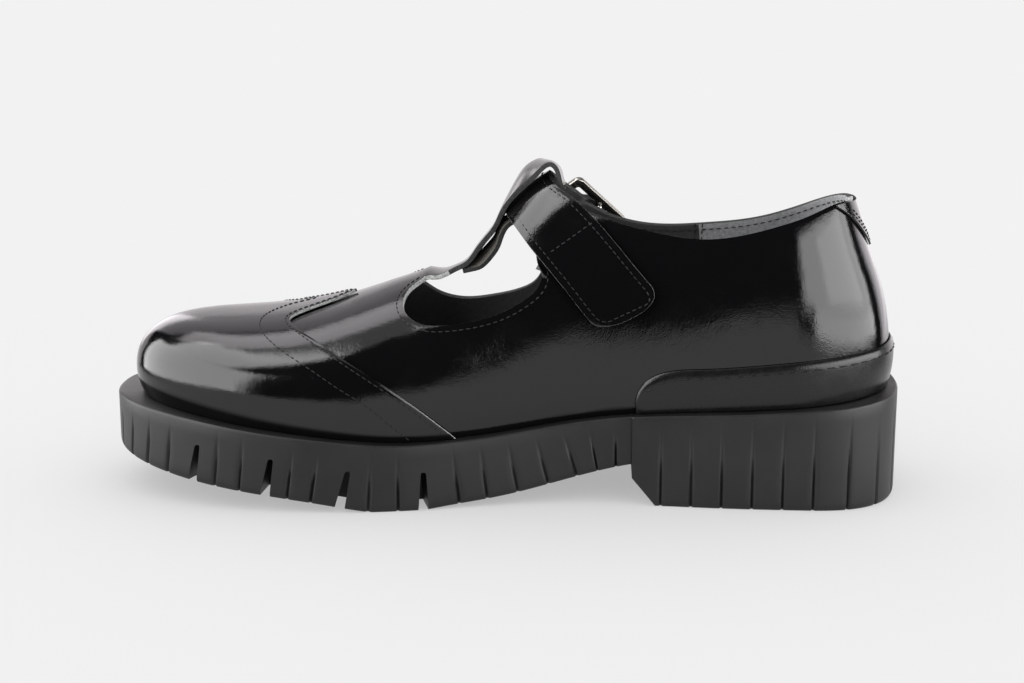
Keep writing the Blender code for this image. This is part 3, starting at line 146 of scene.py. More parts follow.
# The top edge of the upper, inner side, from the heel's seam to the root of the T-bar. A row
# gives a place near the form's surface, and foot, the share of the sole's edge where the column
# of leather below it ends: 0 at the heel's seam and 50 percent at the toe's tip.
Edge = namedtuple("Edge", "x y z foot", defaults=[0.0])
TOPLINE_INNER = table(
    Edge,
    (-117.9, 0.0, 102.4, 0.0), (-115.0, 10.5, 102.2, 1.5), (-109.0, 18.5, 101.8, 3.2),
    (-100.5, 24.2, 98.8, 5.6), (-90.6, 25.9, 95.5, 8.2), (-79.0, 26.6, 92.5, 10.6),
    (-66.3, 26.3, 90.9, 12.9), (-57.0, 25.3, 91.4, 14.4), (-47.0, 23.7, 93.2, 15.7),
    (-37.0, 21.6, 95.6, 16.9), (-28.0, 18.3, 98.9, 17.9), (-22.6, 17.0, 100.2, 18.5),
    (-18.6, 17.4, 97.8, 18.9), (-12.4, 19.7, 91.2, 19.6), (-9.6, 22.4, 86.4, 20.1),
    (-10.0, 24.9, 82.2, 20.5), (-11.6, 26.6, 77.9, 21.0), (-9.9, 28.0, 73.5, 21.8),
    (-5.4, 29.1, 69.7, 22.9), (-0.4, 30.2, 66.8, 24.0), (11.0, 32.0, 63.2, 26.5),
    (21.0, 32.8, 61.9, 28.7), (29.5, 31.4, 62.2, 30.9), (34.6, 27.4, 65.2, 33.0),
    (35.9, 20.5, 68.9, 35.7), (33.6, 13.8, 72.2, 38.9), (30.0, 10.0, 74.8, 42.3),
)
# The outer side, from the root of the T-bar back to the heel's seam
TOPLINE_OUTER = table(
    Edge,
    (30.0, -8.0, 74.8, 57.7), (33.8, -12.0, 72.0, 61.1), (35.4, -18.6, 68.4, 64.3),
    (33.0, -27.4, 63.6, 67.1), (27.6, -33.2, 58.5, 69.4), (20.4, -34.9, 56.5, 71.3),
    (10.0, -34.6, 57.8, 73.5), (-1.0, -33.4, 61.1, 75.8), (-6.4, -32.4, 64.4, 77.0),
    (-9.4, -30.8, 69.8, 78.1), (-10.2, -28.6, 76.4, 79.0), (-9.0, -26.6, 81.6, 79.6),
    (-8.6, -24.0, 86.2, 80.1), (-11.0, -21.4, 90.4, 80.5), (-18.6, -18.8, 96.8, 81.1),
    (-23.4, -18.6, 97.9, 81.5), (-28.6, -21.0, 95.0, 82.1), (-36.6, -23.8, 90.8, 83.1),
    (-45.6, -25.6, 88.6, 84.3), (-57.0, -26.8, 88.0, 85.6), (-68.4, -27.2, 88.6, 87.4),
    (-79.4, -27.0, 89.4, 89.4), (-90.2, -26.4, 91.2, 91.8), (-100.4, -24.4, 94.4, 94.4),
    (-109.2, -19.0, 98.6, 96.8), (-115.0, -10.8, 101.4, 98.5),
)
COLUMN_SPACING = 1.3  # along the top edge
FOOT_SPACING = 0.5  # along the sole's edge, in percent of it
UPPER_ROWS = 42
BEND_WEIGHT = 0.5  # how strongly rows gather where a section bends

# The T-bar: the outer face's middle line, from the throat up over the strap and down behind it,
# with half the bar's width, how much higher its outer edge stands than its inner one, and how far
# its edges bow down from its middle
T_BAR_BOW = 0.55
Bar = namedtuple("Bar", "x z half tilt bow", defaults=[T_BAR_BOW])
T_BAR = table(
    Bar,
    (25.2, 75.0, 8.6, -0.4), (20.4, 76.7, 8.2, -1.6), (15.8, 79.2, 8.0, -1.6),
    (12.3, 83.9, 8.0, -1.5), (8.9, 88.2, 8.0, -1.5), (6.1, 92.0, 8.1, -1.5), (4.2, 96.2, 8.2, -1.4),
    (0.8, 102.9, 8.4, 1.4), (-4.2, 109.3, 8.5, 4.4), (-6.6, 111.2, 8.5, 3.8),
    (-9.1, 113.0, 8.5, 2.0), (-11.6, 113.9, 8.4, -0.6), (-14.0, 113.7, 8.4, -1.8),
    (-16.0, 112.2, 8.3, -1.4), (-16.9, 110.2, 8.2, -0.8), (-17.4, 108.0, 8.1, -0.4),
    (-17.6, 106.0, 8.1, 0.0),
)
# Its return under the strap: close to the form at first, then by its own height again
T_BAR_UNDER = table(
    Bar,
    (-17.0, 103.6, 8.0, 0.0), (-15.0, 101.8, 8.0, 0.0), (-11.0, 99.8, 8.0, 0.0),
    (-6.0, 97.0, 8.0, 0.0), (-1.6, 94.4, 8.0, 0.0),
)
T_BAR_END = table(
    Bar,
    (2.4, 92.0, 8.0, 1.8, 1.5), (4.4, 87.5, 7.9, 2.0, 1.8), (7.2, 83.4, 7.8, 2.4, 1.8),
    (10.6, 79.6, 7.6, 2.4, 1.5), (13.6, 76.7, 7.4, 0.3, 0.8), (16.6, 74.8, 7.2, -1.4, 0.5),
)
T_BAR_CENTRE = 1.0
T_BAR_BOW_LEAN = 0.5
T_BAR_COLUMNS = 14
T_BAR_SPACING = 1.1
T_BAR_SINK = 0.5  # how far its return lies inside the form
ROOT_RISE = 1.5  # how far its root arches above a straight line
INSOLE_MARGIN = 1.6

# The wing-tip cap's rear edge, from the sole's edge on the inner side over the vamp to the outer
WING = table(
    Edge,
    (18.6, 38.8, 25.6, 27.8), (28.3, 40.1, 33.9, 29.6), (41.4, 41.6, 43.4, 32.2),
    (53.0, 40.0, 50.2, 34.4), (62.6, 35.2, 54.9, 36.4), (70.0, 28.8, 57.6, 38.0),
    (74.6, 22.4, 59.2, 39.6), (75.6, 17.9, 60.4, 41.2), (72.8, 13.1, 62.3, 43.2),
    (66.2, 8.0, 64.4, 45.2), (59.0, 3.4, 66.2, 47.6), (55.2, -1.0, 67.0, 50.0),
    (59.0, -5.4, 66.2, 52.4), (66.2, -9.4, 64.4, 54.8), (72.8, -13.8, 62.3, 56.8),
    (75.6, -18.2, 60.4, 58.8), (74.6, -22.8, 59.2, 60.4), (70.0, -29.0, 57.6, 62.0),
    (62.6, -35.2, 54.9, 63.6), (53.0, -40.6, 50.2, 65.6), (41.4, -43.2, 43.4, 67.8),
    (28.3, -42.8, 33.9, 70.4), (18.6, -41.2, 25.6, 72.2),
)
WING_ROWS, WING_ROW_SPACING = 56, 1.5
CAP_OFFSET = 0.5  # the cap stands off the form by this, clear of the upper's facets

# The heel band's top edge on the inner side, from its front corner to the heel's seam
RAND = table(
    Edge,
    (-43.4, 30.2, 35.0, 17.4), (-44.6, 30.3, 39.6, 17.2), (-48.0, 30.4, 43.6, 16.7),
    (-54.0, 30.6, 46.3, 15.7), (-65.0, 31.1, 47.5, 13.9), (-85.0, 31.9, 49.2, 10.6),
    (-98.0, 32.0, 50.6, 8.4), (-112.0, 29.4, 52.0, 5.9), (-123.0, 22.6, 53.0, 3.6),
    (-130.0, 12.0, 53.8, 1.7), (-132.0, 0.0, 54.2, 0.0),
)
RAND_ROWS = 16
BAND_SPACING, BAND_FOOT_SPACING = 1.3, 0.3  # along a band's edge, and the sole's in percent

# The strap lies across the instep in a frame of its own: across is measured up the instep's
# ridge and along down and back, both at 45 degrees, from the shoe's origin.
STRAP_ACROSS = 76.0
STRAP_INNER_END = -15.6  # the sewn, rounded end on the inner side
STRAP_OUTER_END = -17.0  # the free tip on the outer side
STRAP_COLUMNS = 16
STRAP_ROWS = 130
STRAP_CORNER = 7.0  # how much of an end its rounding takes up
STRAP_SKEW = 0.31  # how much further its rear corner reaches at the sewn end
STRAP_SKEW_FROM = 42.0
# How much its edges, its middle and its rear edge rise at the ridge
STRAP_RISE, STRAP_ARCH, STRAP_LEAN = 1.6, 1.2, 2.4
STRAP_ARCH_REACH = 12.0
STRAP_AXIS = -24.0  # the place, on the strap's line, that its section is cast from
STRAP_AXIS_Y = -1.5
# How far the strap's under face stands off the form, by its place along it: distance is
# measured from the ridge, negative on the outer side
Lift = namedtuple("Lift", "distance lift")
BUCKLE_AT = -33.0  # the centre bar, as a distance from the ridge
STRAP_LIFT = table(
    Lift,
    (-75.0, 2.0), (BUCKLE_AT - 16.0, 2.1), (BUCKLE_AT - 11.0, 2.3), (BUCKLE_AT - 8.0, 3.3),
    (BUCKLE_AT - 5.2, 5.0), (BUCKLE_AT - 2.8, 6.5), (BUCKLE_AT, 7.1), (BUCKLE_AT + 2.6, 6.4),
    (BUCKLE_AT + 5.0, 4.9), (BUCKLE_AT + 8.0, 3.1), (BUCKLE_AT + 11.0, 2.9),
    (BUCKLE_AT + 15.0, 2.6), (-11.0, 2.4), (-5.0, 2.3), (0.0, 2.3), (6.0, 2.4), (12.0, 2.3),
    (18.0, 1.5), (23.0, 0.7), (30.0, GAP + 0.1), (70.0, GAP + 0.1),
)
# How far the strap reaches to each side of its line
Side = namedtuple("Side", "distance front rear")
STRAP_SIDES = table(
    Side,
    (-62.0, 10.0, 10.0), (-40.0, 9.8, 9.6), (-28.0, 8.6, 9.2), (-18.0, 8.8, 8.9), (-8.0, 9.5, 8.3),
    (0.0, 9.5, 8.2), (7.0, 9.5, 8.0), (11.0, 9.5, 8.8), (15.0, 9.5, 10.4), (22.0, 9.6, 12.0),
    (34.0, 9.9, 12.5), (44.0, 10.6, 12.2), (54.0, 11.4, 11.6), (63.0, 11.6, 11.4),
)

BUCKLE_LENGTH = 28.0
BUCKLE_HALF_WIDTH = 14.0
BUCKLE_BAR = 3.0  # width of the frame's bars
BUCKLE_THICK = 2.2
FRAME_CORNER, FRAME_CORNER_INSIDE, FRAME_CORNER_STEPS = 2.6, 0.8, 10
FRAME_LIFT = 5.2  # the middle of the frame's thickness, off the form at its centre
PIN_LIFT = 3.35
PIN_RADIUS = 0.9
PRONG_RADIUS = 0.8

SEAM_TAB_HALF = 18.5  # half its width along the top edge
SEAM_TAB_DROP = 16.0  # how far it reaches down the heel's seam
SEAM_TAB_MARGIN = 0.6  # between it and the top edge
SEAM_TAB_LEAN = 0.33  # the heel's slope there
SEAM_TAB_RIM = 3  # the top edge's rows on each side that it lies along
SEAM_TAB_COLUMNS, SEAM_TAB_ROWS = 41, 22
SEAM_TAB_POWER, SEAM_TAB_ROUNDING = 1.6, 0.2  # the curve of its lower edge, and its own edges

# The chape holds the buckle's centre bar. It is sewn to the outer side, runs up under the bar,
# turns round it and comes back. A row is a place along the strap's line and a height off the form.
CHAPE = table(
    Lift,
    (BUCKLE_AT - 26.0, GAP), (BUCKLE_AT - 22.0, GAP), (BUCKLE_AT - 16.0, GAP),
    (BUCKLE_AT - 10.0, GAP), (BUCKLE_AT - 5.0, 0.6), (BUCKLE_AT - 2.2, 0.9), (BUCKLE_AT - 0.1, 0.9),
    (BUCKLE_AT + 1.9, 1.5), (BUCKLE_AT + 2.9, 3.6), (BUCKLE_AT + 2.1, 5.8), (BUCKLE_AT, 6.6),
    (BUCKLE_AT - 2.3, 5.8), (BUCKLE_AT - 4.4, 4.6),
)
CHAPE_HALF = 8.6
CHAPE_SLOT_HALF = 1.5
CHAPE_SLOT_ROWS = (6, 11)  # the rows between which the prong's slot is open

# The prong turns on the centre bar, comes up through the strap and rests on the frame's upper bar
PRONG = table(
    Lift,
    (BUCKLE_AT - 0.6, 5.45), (BUCKLE_AT + 0.6, 5.7), (BUCKLE_AT + 2.4, 6.3), (BUCKLE_AT + 4.8, 7.1),
    (BUCKLE_AT + 7.4, 8.0), (BUCKLE_AT + 10.2, 8.9), (BUCKLE_AT + 12.4, 9.5),
    (BUCKLE_AT + 14.8, 10.1),
)
HOLE_AT = BUCKLE_AT + 3.2  # the strap's hole that the prong comes through
HOLE_HALF_WIDTH, HOLE_HALF_LENGTH = 1.5, 5.0

# The looks' own sizes
RING_SPACING, RING_LEAST = 1.7, 0.12  # between the sole's rings
GROOVE_RINGS = (-1.15, -0.8, -0.4, 0.0, 0.4, 0.8, 1.15)  # across a groove, in halves of its width
SIDE_ROWS = 7  # down the straight part of the sole's side
TREAD_EDGE = 4.0  # how far in from the side the tread's own edge runs
TOP_ROUND = 0.8
TOP_LEVELS = ((0.0, 1.0), (0.12, 0.55), (0.4, 0.2), (0.95, 0.0))  # drops, and shares of TOP_ROUND
FOOT_TURNS, FOOT_ROUND = (25, 50, 72, 90), 1.1  # the tread's rounded edge
GROOVE_OPENING = 1.5  # how soon a groove reaches its depth, in shares of the side
EDGE_ROUNDING = 0.32  # of cut leather
RUN_REACH = 0.5  # to each side of a place where the outline's direction is taken
NEARBY = 0.02  # the step over which the form's value is compared
CREVICE = 2.6  # height above the sole over which the leather's reflection is dimmed: painted shade
CREVICE_TOE = 4.2  # how much more at the toe
CREVICE_RUN = 120.0  # from the middle to the toe
THREAD_LIFT = 0.06  # of a stitch's middle off its leather

# The stitches' spacing, their own length and width, and how far each turns off its line, radians
Stitch = namedtuple("Stitch", "pitch length width wander", defaults=[0.05])
WING_STITCH = Stitch(2.3, 1.75, 0.5)
BAND_STITCH = Stitch(4.3, 3.5, 0.55, 0.08)
PATCH_STITCH = Stitch(2.0, 1.5, 0.45)
UPPER_STITCH = Stitch(2.3, 1.75, 0.48)
LINING_STITCH = Stitch(2.6, 1.9, 0.45)
STRAP_STITCH = Stitch(2.2, 1.65, 0.48)

T_BAR_EASE = 5.0  # over which the T-bar's return settles on the form
BAR_FOOT, BAR_REACH = 75.5, 11.0  # a face above this height and within this reach is the T-bar's
LINING_SEAM = -66.0  # where the heel's lining begins
CUT_OUT_FROM = 15  # the top edge's row where the cut-out's stitching begins
COLLAR_SKIP, COLLAR_END = 3, 90  # columns without its row, at the heel's seam and by the T-bar
BELOW_EDGE = -6  # the row of the upper's points that tells which side of its edge is leather
# How far rows of thread run in from an edge
CAP_ROW, RAND_ROW, STRAP_ROW, UPPER_ROW = 1.4, 2.9, 2.3, 2.2
STRAP_CROSS_ROW = 28.7  # where the row across the strap is, from the ridge
STRAP_CROSS_FROM, STRAP_CROSS_TO = 0.82, -0.5  # as shares of the strap's reach to each side
PATCH_ROWS = ((2, 1.3), (4, 2.9))  # the columns each row leaves free at its ends, and its distance
LINING_ROWS = (-1.2, 1.4)  # the rows of thread beside the lining's seam
LINING_FROM, LINING_TO, LINING_REACH = 48.0, 88.0, 27.0  # their heights, and a reach near the wall
SPARE_HOLES, SPARE_HOLE = (7.0, 13.0), 1.0  # their places past the buckle's bar, and their size
HOLE_SIDES, HOLE_LIFTS = 20, (1.2, 11.0)  # a hole's cutter and its ends' heights off the form
CHAPE_ROWS, CHAPE_SIDE = 60, 7  # CHAPE_SIDE points lie on each side of the slot
CHAPE_RIM, CHAPE_END = 1.2, 0.2  # the least leather beside the slot, and past its last row
CORNER_IN, CORNER_OUT = 2.6, 2.2  # the powers of a strip's rounded end
FRAME_ROUNDING = 0.55
SOCK_RIM, SOCK_POWER = 0.7, 6  # how far the sock's edges turn up, and how late
FAN_STEPS = 41  # between the sole's edge and an upper edge
CAMERA_PLACE, CAMERA_LENS = (-0.04005, 0.61884, 0.19), 63.07
CAMERA_TURN, CAMERA_FALL = 3.5, 12.8
LIT_HEIGHT = 0.06  # of the shoe's middle, which the lights stand round, in metres
SKY = 0.888  # the floor's and the background's brightness
FLOOR_GLOW = 0.45  # the share of the floor's brightness that no shadow takes
FLOOR_FADE = 1.27  # how far its edges fade out, as a share of their distance
# The floor's outline, in metres
FLOOR = [
    (-0.28, -0.6), (0.28, -0.6), (0.28, 0.36), (0.0, 0.42), (-0.03, 1.0),
    (-0.12, 2.2), (-0.5, 2.2), (-0.2, 0.6), (-0.28, 0.36),
]

# Channels across the tread: station, width, depth, reach to each side and sweep toward the toe
Channel = namedtuple("Channel", "x wide deep reach sweep")
CHANNEL_BELOW, CHANNEL_OVERLAP = 2.0, 0.5  # how far a cutter reaches past the tread and the middle
CHANNEL_FLOOR = 0.8  # a channel's floor as a share of its width
TREAD = table(
    Channel,
    (14.0, 3.0, 1.0, 26.0, 6.0), (27.0, 3.6, 1.2, 26.0, 6.0), (39.9, 3.0, 1.0, 28.0, 6.0),
    (52.7, 3.6, 1.2, 28.0, 6.0), (65.6, 3.0, 1.0, 28.0, 4.0), (78.5, 3.6, 1.2, 25.0, 2.0),
    (91.4, 3.0, 1.0, 23.0, 0.0), (104.2, 3.6, 1.2, 19.0, -4.0), (-66.0, 3.2, 1.2, 24.0, -4.0),
    (-79.0, 3.2, 1.2, 24.0, -4.0), (-92.0, 3.2, 1.2, 24.0, -4.0), (-105.0, 3.2, 1.2, 22.0, -4.0),
)

# The second row of thread on the wing-tip cap
WING_SECOND_ROW = table(
    Edge,
    (32.7, 41.6, 24.5), (39.7, 43.8, 31.0), (47.8, 44.9, 37.7), (54.4, 45.0, 41.9),
    (64.0, 43.0, 47.8), (74.5, 37.8, 53.1), (82.9, 29.2, 57.3), (85.9, 20.0, 59.6),
    (85.0, 11.8, 60.7), (81.4, 3.7, 61.6), (75.8, -2.4, 62.6), (70.6, -5.6, 64.0),
    (75.8, -9.4, 62.6), (81.4, -14.0, 61.6), (85.0, -20.0, 60.7), (84.0, -27.0, 58.6),
    (77.0, -34.6, 54.0), (64.0, -41.4, 47.8), (54.4, -43.8, 41.9), (44.0, -44.4, 35.0),
    (36.0, -43.4, 27.0),
)

# Soft troughs (depth above zero) and ridges of the worn leather: start, end, width and depth
Crease = namedtuple("Crease", "x y z to_x to_y to_z width depth")
CREASES = table(
    Crease,
    (44.0, 22.0, 68.0, 50.0, -20.0, 66.0, 3.0, 0.22),
    (53.0, 26.0, 62.0, 58.0, -24.0, 62.0, 3.2, -0.14),
    (36.0, 36.0, 58.0, 44.0, 40.0, 46.0, 4.0, 0.2), (26.0, 40.0, 50.0, 36.0, 44.0, 36.0, 4.0, 0.16),
)

# --- small numeric helpers -------------------------------------------------------------------


def spline(knots, values, at):
    """A natural cubic spline through the knots, held still beyond its ends."""
    knots = np.asarray(knots, float)
    values = np.asarray(values, float)
    count = len(knots)
    step = np.diff(knots)
    slope = np.diff(values) / step
    matrix = np.eye(count)
    right = np.zeros(count)
    for i in range(1, count - 1):
        matrix[i, i - 1 : i + 2] = step[i - 1], 2 * (step[i - 1] + step[i]), step[i]
        right[i] = 6 * (slope[i] - slope[i - 1])
    bend = np.linalg.solve(matrix, right)
    at = np.clip(at, knots[0], knots[-1])
    i = np.clip(np.searchsorted(knots, at) - 1, 0, count - 2)
    a = (knots[i + 1] - at) / step[i]
    b = 1 - a
    curve = (a**3 - a) * bend[i] + (b**3 - b) * bend[i + 1]
    return a * values[i] + b * values[i + 1] + curve * step[i] ** 2 / 6


def column(rows, key, name, at, key_scale=1.0, scale=1.0):
    """One named column of a table, read between its rows."""
    knots = [getattr(row, key) * key_scale for row in rows]
    values = [getattr(row, name) * scale for row in rows]
    return spline(knots, values, at)


def form_column(name, x):
    """A column of the form's table at stations, in millimetres."""
    return column(FORM, "station", name, x, LENGTH / 100, SCALES[name])


def sole_column(name, x):
    """A column of the sole's table at stations, in millimetres."""
    return column(SOLE, "station", name, x, LENGTH / 100, SCALES[name])


def eased(share):
    """A share from 0 to 1 with a soft start and end."""
    return share * share * (3 - 2 * share)


def unit(vectors):
    """Rows of vectors, each made one long."""
    return vectors / np.linalg.norm(vectors, axis=-1, keepdims=True)


def path_length(points):
    """Distance along a path of points at each of them."""
    steps = np.linalg.norm(np.diff(points, axis=0), axis=1)
    return np.concatenate([[0.0], np.cumsum(steps)])


def along(points, distances):
    """Points at given distances along a path."""
    lengths = path_length(points)
    columns = [np.interp(distances, lengths, column) for column in points.T]
    return np.stack(columns, axis=1)


# --- the form --------------------------------------------------------------------------------


def form_value(points):
    """Below zero inside the form, zero on its face and above zero outside."""
    x, y, z = points[..., 0], points[..., 1], points[..., 2]
    columns = (form_column(name, x) for name in Form._fields[1:])
    centre, half, fullest, ridge, lean, shoulder = columns
    rise = np.clip((z - fullest) / (ridge - fullest), 0, None)
    drop = np.clip((fullest - z) / TUCK_DEPTH, 0, None)
    side = np.abs(y - centre - lean * np.minimum(rise, LEAN_LIMIT) ** 2) / half
    toe_start, toe_tip = TOE_START * LENGTH / 100, TOE_TIP * LENGTH / 100
    toe = np.clip((x - toe_start) / (toe_tip - toe_start), 0, None)
    heel_start = HEEL_START * LENGTH / 100
    back = -column(HEEL_BACK, "height", "behind", z)
    level = np.clip(1 - rise**TOP_POWER, 1e-4, None) ** (1 / shoulder)
    heel = np.clip((heel_start - x) / (heel_start - back), 0, None)
    heel = heel * level ** (SIDE_POWER / HEEL_POWER)
    plan = (side**SIDE_POWER + toe**TOE_POWER + heel**HEEL_POWER) ** (1 / SIDE_POWER)
    tuck = drop**2 * (1 + TOE_TUCK * np.minimum(toe, TUCK_LIMIT) ** 4)
    return plan**shoulder + rise**TOP_POWER + tuck - 1


def form_normal(points):
    """The direction straight out of the form, and how fast its value grows that way."""
    grown = np.zeros_like(points)
    for i in range(3):
        step = np.zeros(3)
        step[i] = NEARBY
        grown[..., i] = (form_value(points + step) - form_value(points - step)) / (2 * NEARBY)
    size = np.linalg.norm(grown, axis=-1, keepdims=True)
    return grown / np.maximum(size, 1e-9), size[..., 0]


def on_form(points, offset=0.0, rounds=12):
    """The points moved straight to the form's face, then out by an offset."""
    points = np.array(points, float)
    for _ in range(rounds):
        normal, size = form_normal(points)
        step = np.clip(form_value(points) / np.maximum(size, 1e-6), -5, 5)
        points = points - normal * step[..., None]
    normal, _ = form_normal(points)
    return points + normal * np.asarray(offset)[..., None]


def bed_height(x):
    """The sole's top face, on which the upper stands."""
    return sole_column("top", x)


def farthest_inside(place, shape, limit, rounds=36):
    """The places furthest along their lines, up to a limit, that still lie inside the form."""
    near = np.zeros(shape)
    far = near + limit
    for _ in range(rounds):
        middle = (near + far) / 2
        inside = form_value(place(middle[..., None])) < 0
        near, far = np.where(inside, middle, near), np.where(inside, far, middle)
    return place(near[..., None])


def sole_edge_loop(samples=720):
    """The line where the form meets the sole, from the heel's seam by the inner side."""
    angles = PI - np.arange(samples + 1) * 2 * PI / samples
    across = np.stack([np.cos(angles), np.sin(angles)], axis=1)

    def place(reach):
        flat = across * reach
        return np.column_stack([flat, bed_height(flat[:, 0]) + GAP])

    return farthest_inside(place, samples + 1, limit=150.0, rounds=40)


def cast(points):
    """The points moved to the form's face along lines from well inside it, level with each."""
    x = np.clip(points[..., 0], SPINE_FROM, SPINE_TO)
    y = form_column("centre", x)
    z = form_column("fullest", x) + SPINE_RISE
    start = np.stack([x, y, z], axis=-1)
    ray = unit(points - start)
    return farthest_inside(lambda reach: start + ray * reach, points.shape[:-1], limit=120.0)


def edge_columns(rows, spacing, foot_spacing):
    """Points along an edge of the form, with the foot of each, every row among them."""
    data = np.array([[row.x, row.y, row.z, row.foot] for row in rows])
    data[:, :3] = on_form(data[:, :3])
    lengths = path_length(data[:, :3])
    feet = np.diff(data[:, 3])
    at = []
    for start, end, foot in zip(lengths[:-1], lengths[1:], feet):
        count = max(1, round((end - start) / spacing), round(foot / foot_spacing))
        at.extend(np.linspace(start, end, count, endpoint=False))
    at.append(lengths[-1])
    at = np.array(at)
    tops = np.stack([spline(lengths, data[:, i], at) for i in range(3)], axis=1)
    return on_form(tops), np.interp(at, lengths, data[:, 3]) / 100


def bend_spaced(line, count):
    """Places along a line, evenly spread but closer together where it bends."""
    steps = np.diff(line, axis=0)
    sizes = np.linalg.norm(steps, axis=1)
    run = steps / sizes[:, None]
    turns = np.arccos(np.clip((run[1:] * run[:-1]).sum(axis=1), -1, 1))
    bend = np.concatenate([[0.0], np.cumsum(turns), [turns.sum()]])
    lengths = path_length(line)
    measure = lengths / lengths[-1] + BEND_WEIGHT * bend
    return np.interp(np.linspace(0, measure[-1], count), measure, lengths)


def band_grid(tops, feet, rows):
    """Rows of points on the form between the sole's edge and an upper edge."""
    loop = sole_edge_loop()
    bottoms = along(loop, (feet % 1.0) * path_length(loop)[-1])
    shares = np.linspace(0, 1, FAN_STEPS)[:, None, None]
    fan = cast(bottoms + (tops - bottoms) * shares)
    lines = [fan[:, k] for k in range(len(tops))]
    return on_form([along(line, bend_spaced(line, rows + 1)) for line in lines])


def off_form(grid, offset):
    """A grid's points moved straight out and kept over the sole, with the first row on it."""
    normal, _ = form_normal(grid)
    moved = grid + normal * offset
    over = bed_height(moved[..., 0]) + GAP
    moved[..., 2] = np.maximum(moved[..., 2], over)
    moved[:, 0, 2] = over[:, 0]
    return moved


# --- making pieces ---------------------------------------------------------------------------


def metres(points):
    """Points of the tables' millimetres in the model's metres."""
    return (np.asarray(points, float) - [MIDDLE, 0.0, 0.0]) * MM


def placed(name, data):
    """A new piece, light or camera in the scene."""
    item = bpy.data.objects.new(name, data)
    bpy.context.scene.collection.objects.link(item)
    return item


def shell(name, points, faces, *finishes):
    """A new piece from points and faces."""
    mesh = bpy.data.meshes.new(name)
    mesh.from_pydata(metres(points).tolist(), [], [tuple(face) for face in faces])
    mesh.update()
    for finish in finishes:
        mesh.materials.append(finish)
    return placed(name, mesh)


def settled(piece, crease=40.0):
    """The piece with its modifiers worked in, smooth but for its creases."""
    bpy.context.view_layer.update()
    graph = bpy.context.evaluated_depsgraph_get()
    made = bpy.data.meshes.new_from_object(piece.evaluated_get(graph))
    made.name = piece.name
    piece.modifiers.clear()
    piece.data = made
    made.shade_smooth()
    made.set_sharp_from_angle(angle=math.radians(crease))
    return piece


def faced_out(piece):
    """Turns the faces of a closed piece outward."""
    form = bmesh.new()
    form.from_mesh(piece.data)
    bmesh.ops.recalc_face_normals(form, faces=form.faces)
    form.to_mesh(piece.data)
    form.free()
    return piece


def walled(piece, wall, side, rounding, inner, rim, corner=-1):
    """Gives an open sheet a wall with rounded edges; inner, rim and corner choose its finishes."""
    thick = piece.modifiers.new("wall", "SOLIDIFY")
    thick.thickness = wall * MM
    thick.offset = side
    thick.material_offset = inner
    thick.material_offset_rim = rim
    rounded(piece, rounding, corner=corner)
    return piece


def rounded(piece, width, segments=3, angle=50.0, corner=-1):
    """Rounds a piece's edges sharper than an angle; corner chooses the finish they take."""
    bevel = piece.modifiers.new("edge", "BEVEL")
    bevel.material = corner
    bevel.width = width * MM
    bevel.segments = segments
    bevel.limit_method = "ANGLE"
    bevel.angle_limit = math.radians(angle)
    return piece


def taken_out(piece, *cutters):
    """Takes the cutters' shapes out of a piece."""
    for cutter in cutters:
        boolean = piece.modifiers.new("cut", "BOOLEAN")
        boolean.operation = "DIFFERENCE"
        boolean.solver = "EXACT"
        boolean.object = cutter
    settled(piece)
    for cutter in cutters:
        bpy.data.objects.remove(cutter, do_unlink=True)
    return piece


def painted_sole_shade(piece):
    """How close each point is to the sole's top edge, for the painted shade on the leather there.
    """
    places = np.empty(3 * len(piece.data.vertices))
    piece.data.vertices.foreach_get("co", places)
    places = places.reshape(-1, 3) / MM
    x = places[:, 0] + MIDDLE
    reach = CREVICE + CREVICE_TOE * np.clip(x / CREVICE_RUN, 0, 1) ** 2
    close = np.clip(1 - (places[:, 2] - bed_height(x)) / reach, 0, 1)
    mark = piece.data.attributes.new("painted_sole_shade", "FLOAT", "POINT")
    mark.data.foreach_set("value", close.astype(np.float32))
    return piece


def worn(piece, slot, *nodes):
    """Hangs a finished piece on the shoe's one body."""
    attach(piece, "root")
    if nodes:
        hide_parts(*nodes)
    return piece


def grid_faces(across, up, closed=False, start=0):
    """Quads of a grid whose point (i, j) is number start + i * up + j."""
    faces = []
    for i in range(across if closed else across - 1):
        after = (i + 1) % across
        for j in range(up - 1):
            a, b = start + i * up + j, start + after * up + j
            faces.append((a, a + 1, b + 1, b))
    return faces


def ring_faces(count, size, closed=False):
    """Quads between rings of the same size, numbered one after the other, with open ends capped."""
    faces = []
    for i in range(count if closed else count - 1):
        near, far = i * size, (i + 1) % count * size
        for j in range(size):
            after = (j + 1) % size
            faces.append((near + j, far + j, far + after, near + after))
    if not closed:
        faces += [tuple(range(size)), tuple(range((count - 1) * size, count * size))[::-1]]
    return faces


def shell_faces(across, up):
    """The faces of a closed wall between two grids of one size, numbered one after the other."""
    count = across * up
    near = [face[::-1] for face in grid_faces(across, up)]
    far = grid_faces(across, up, start=count)
    rim = [i * up for i in range(across)] + [(across - 1) * up + j for j in range(1, up)]
    rim += [i * up + up - 1 for i in range(across - 2, -1, -1)] + list(range(up - 2, 0, -1))
    after = rim[1:] + rim[:1]
    return near + far + [(a, b, b + count, a + count) for a, b in zip(rim, after)]


ROD_SIDE = (0.31, 0.52, 0.79)  # a direction that no rod runs in
ROD_CAP = (80, 60, 35, 12)  # the turns of a domed end's rings


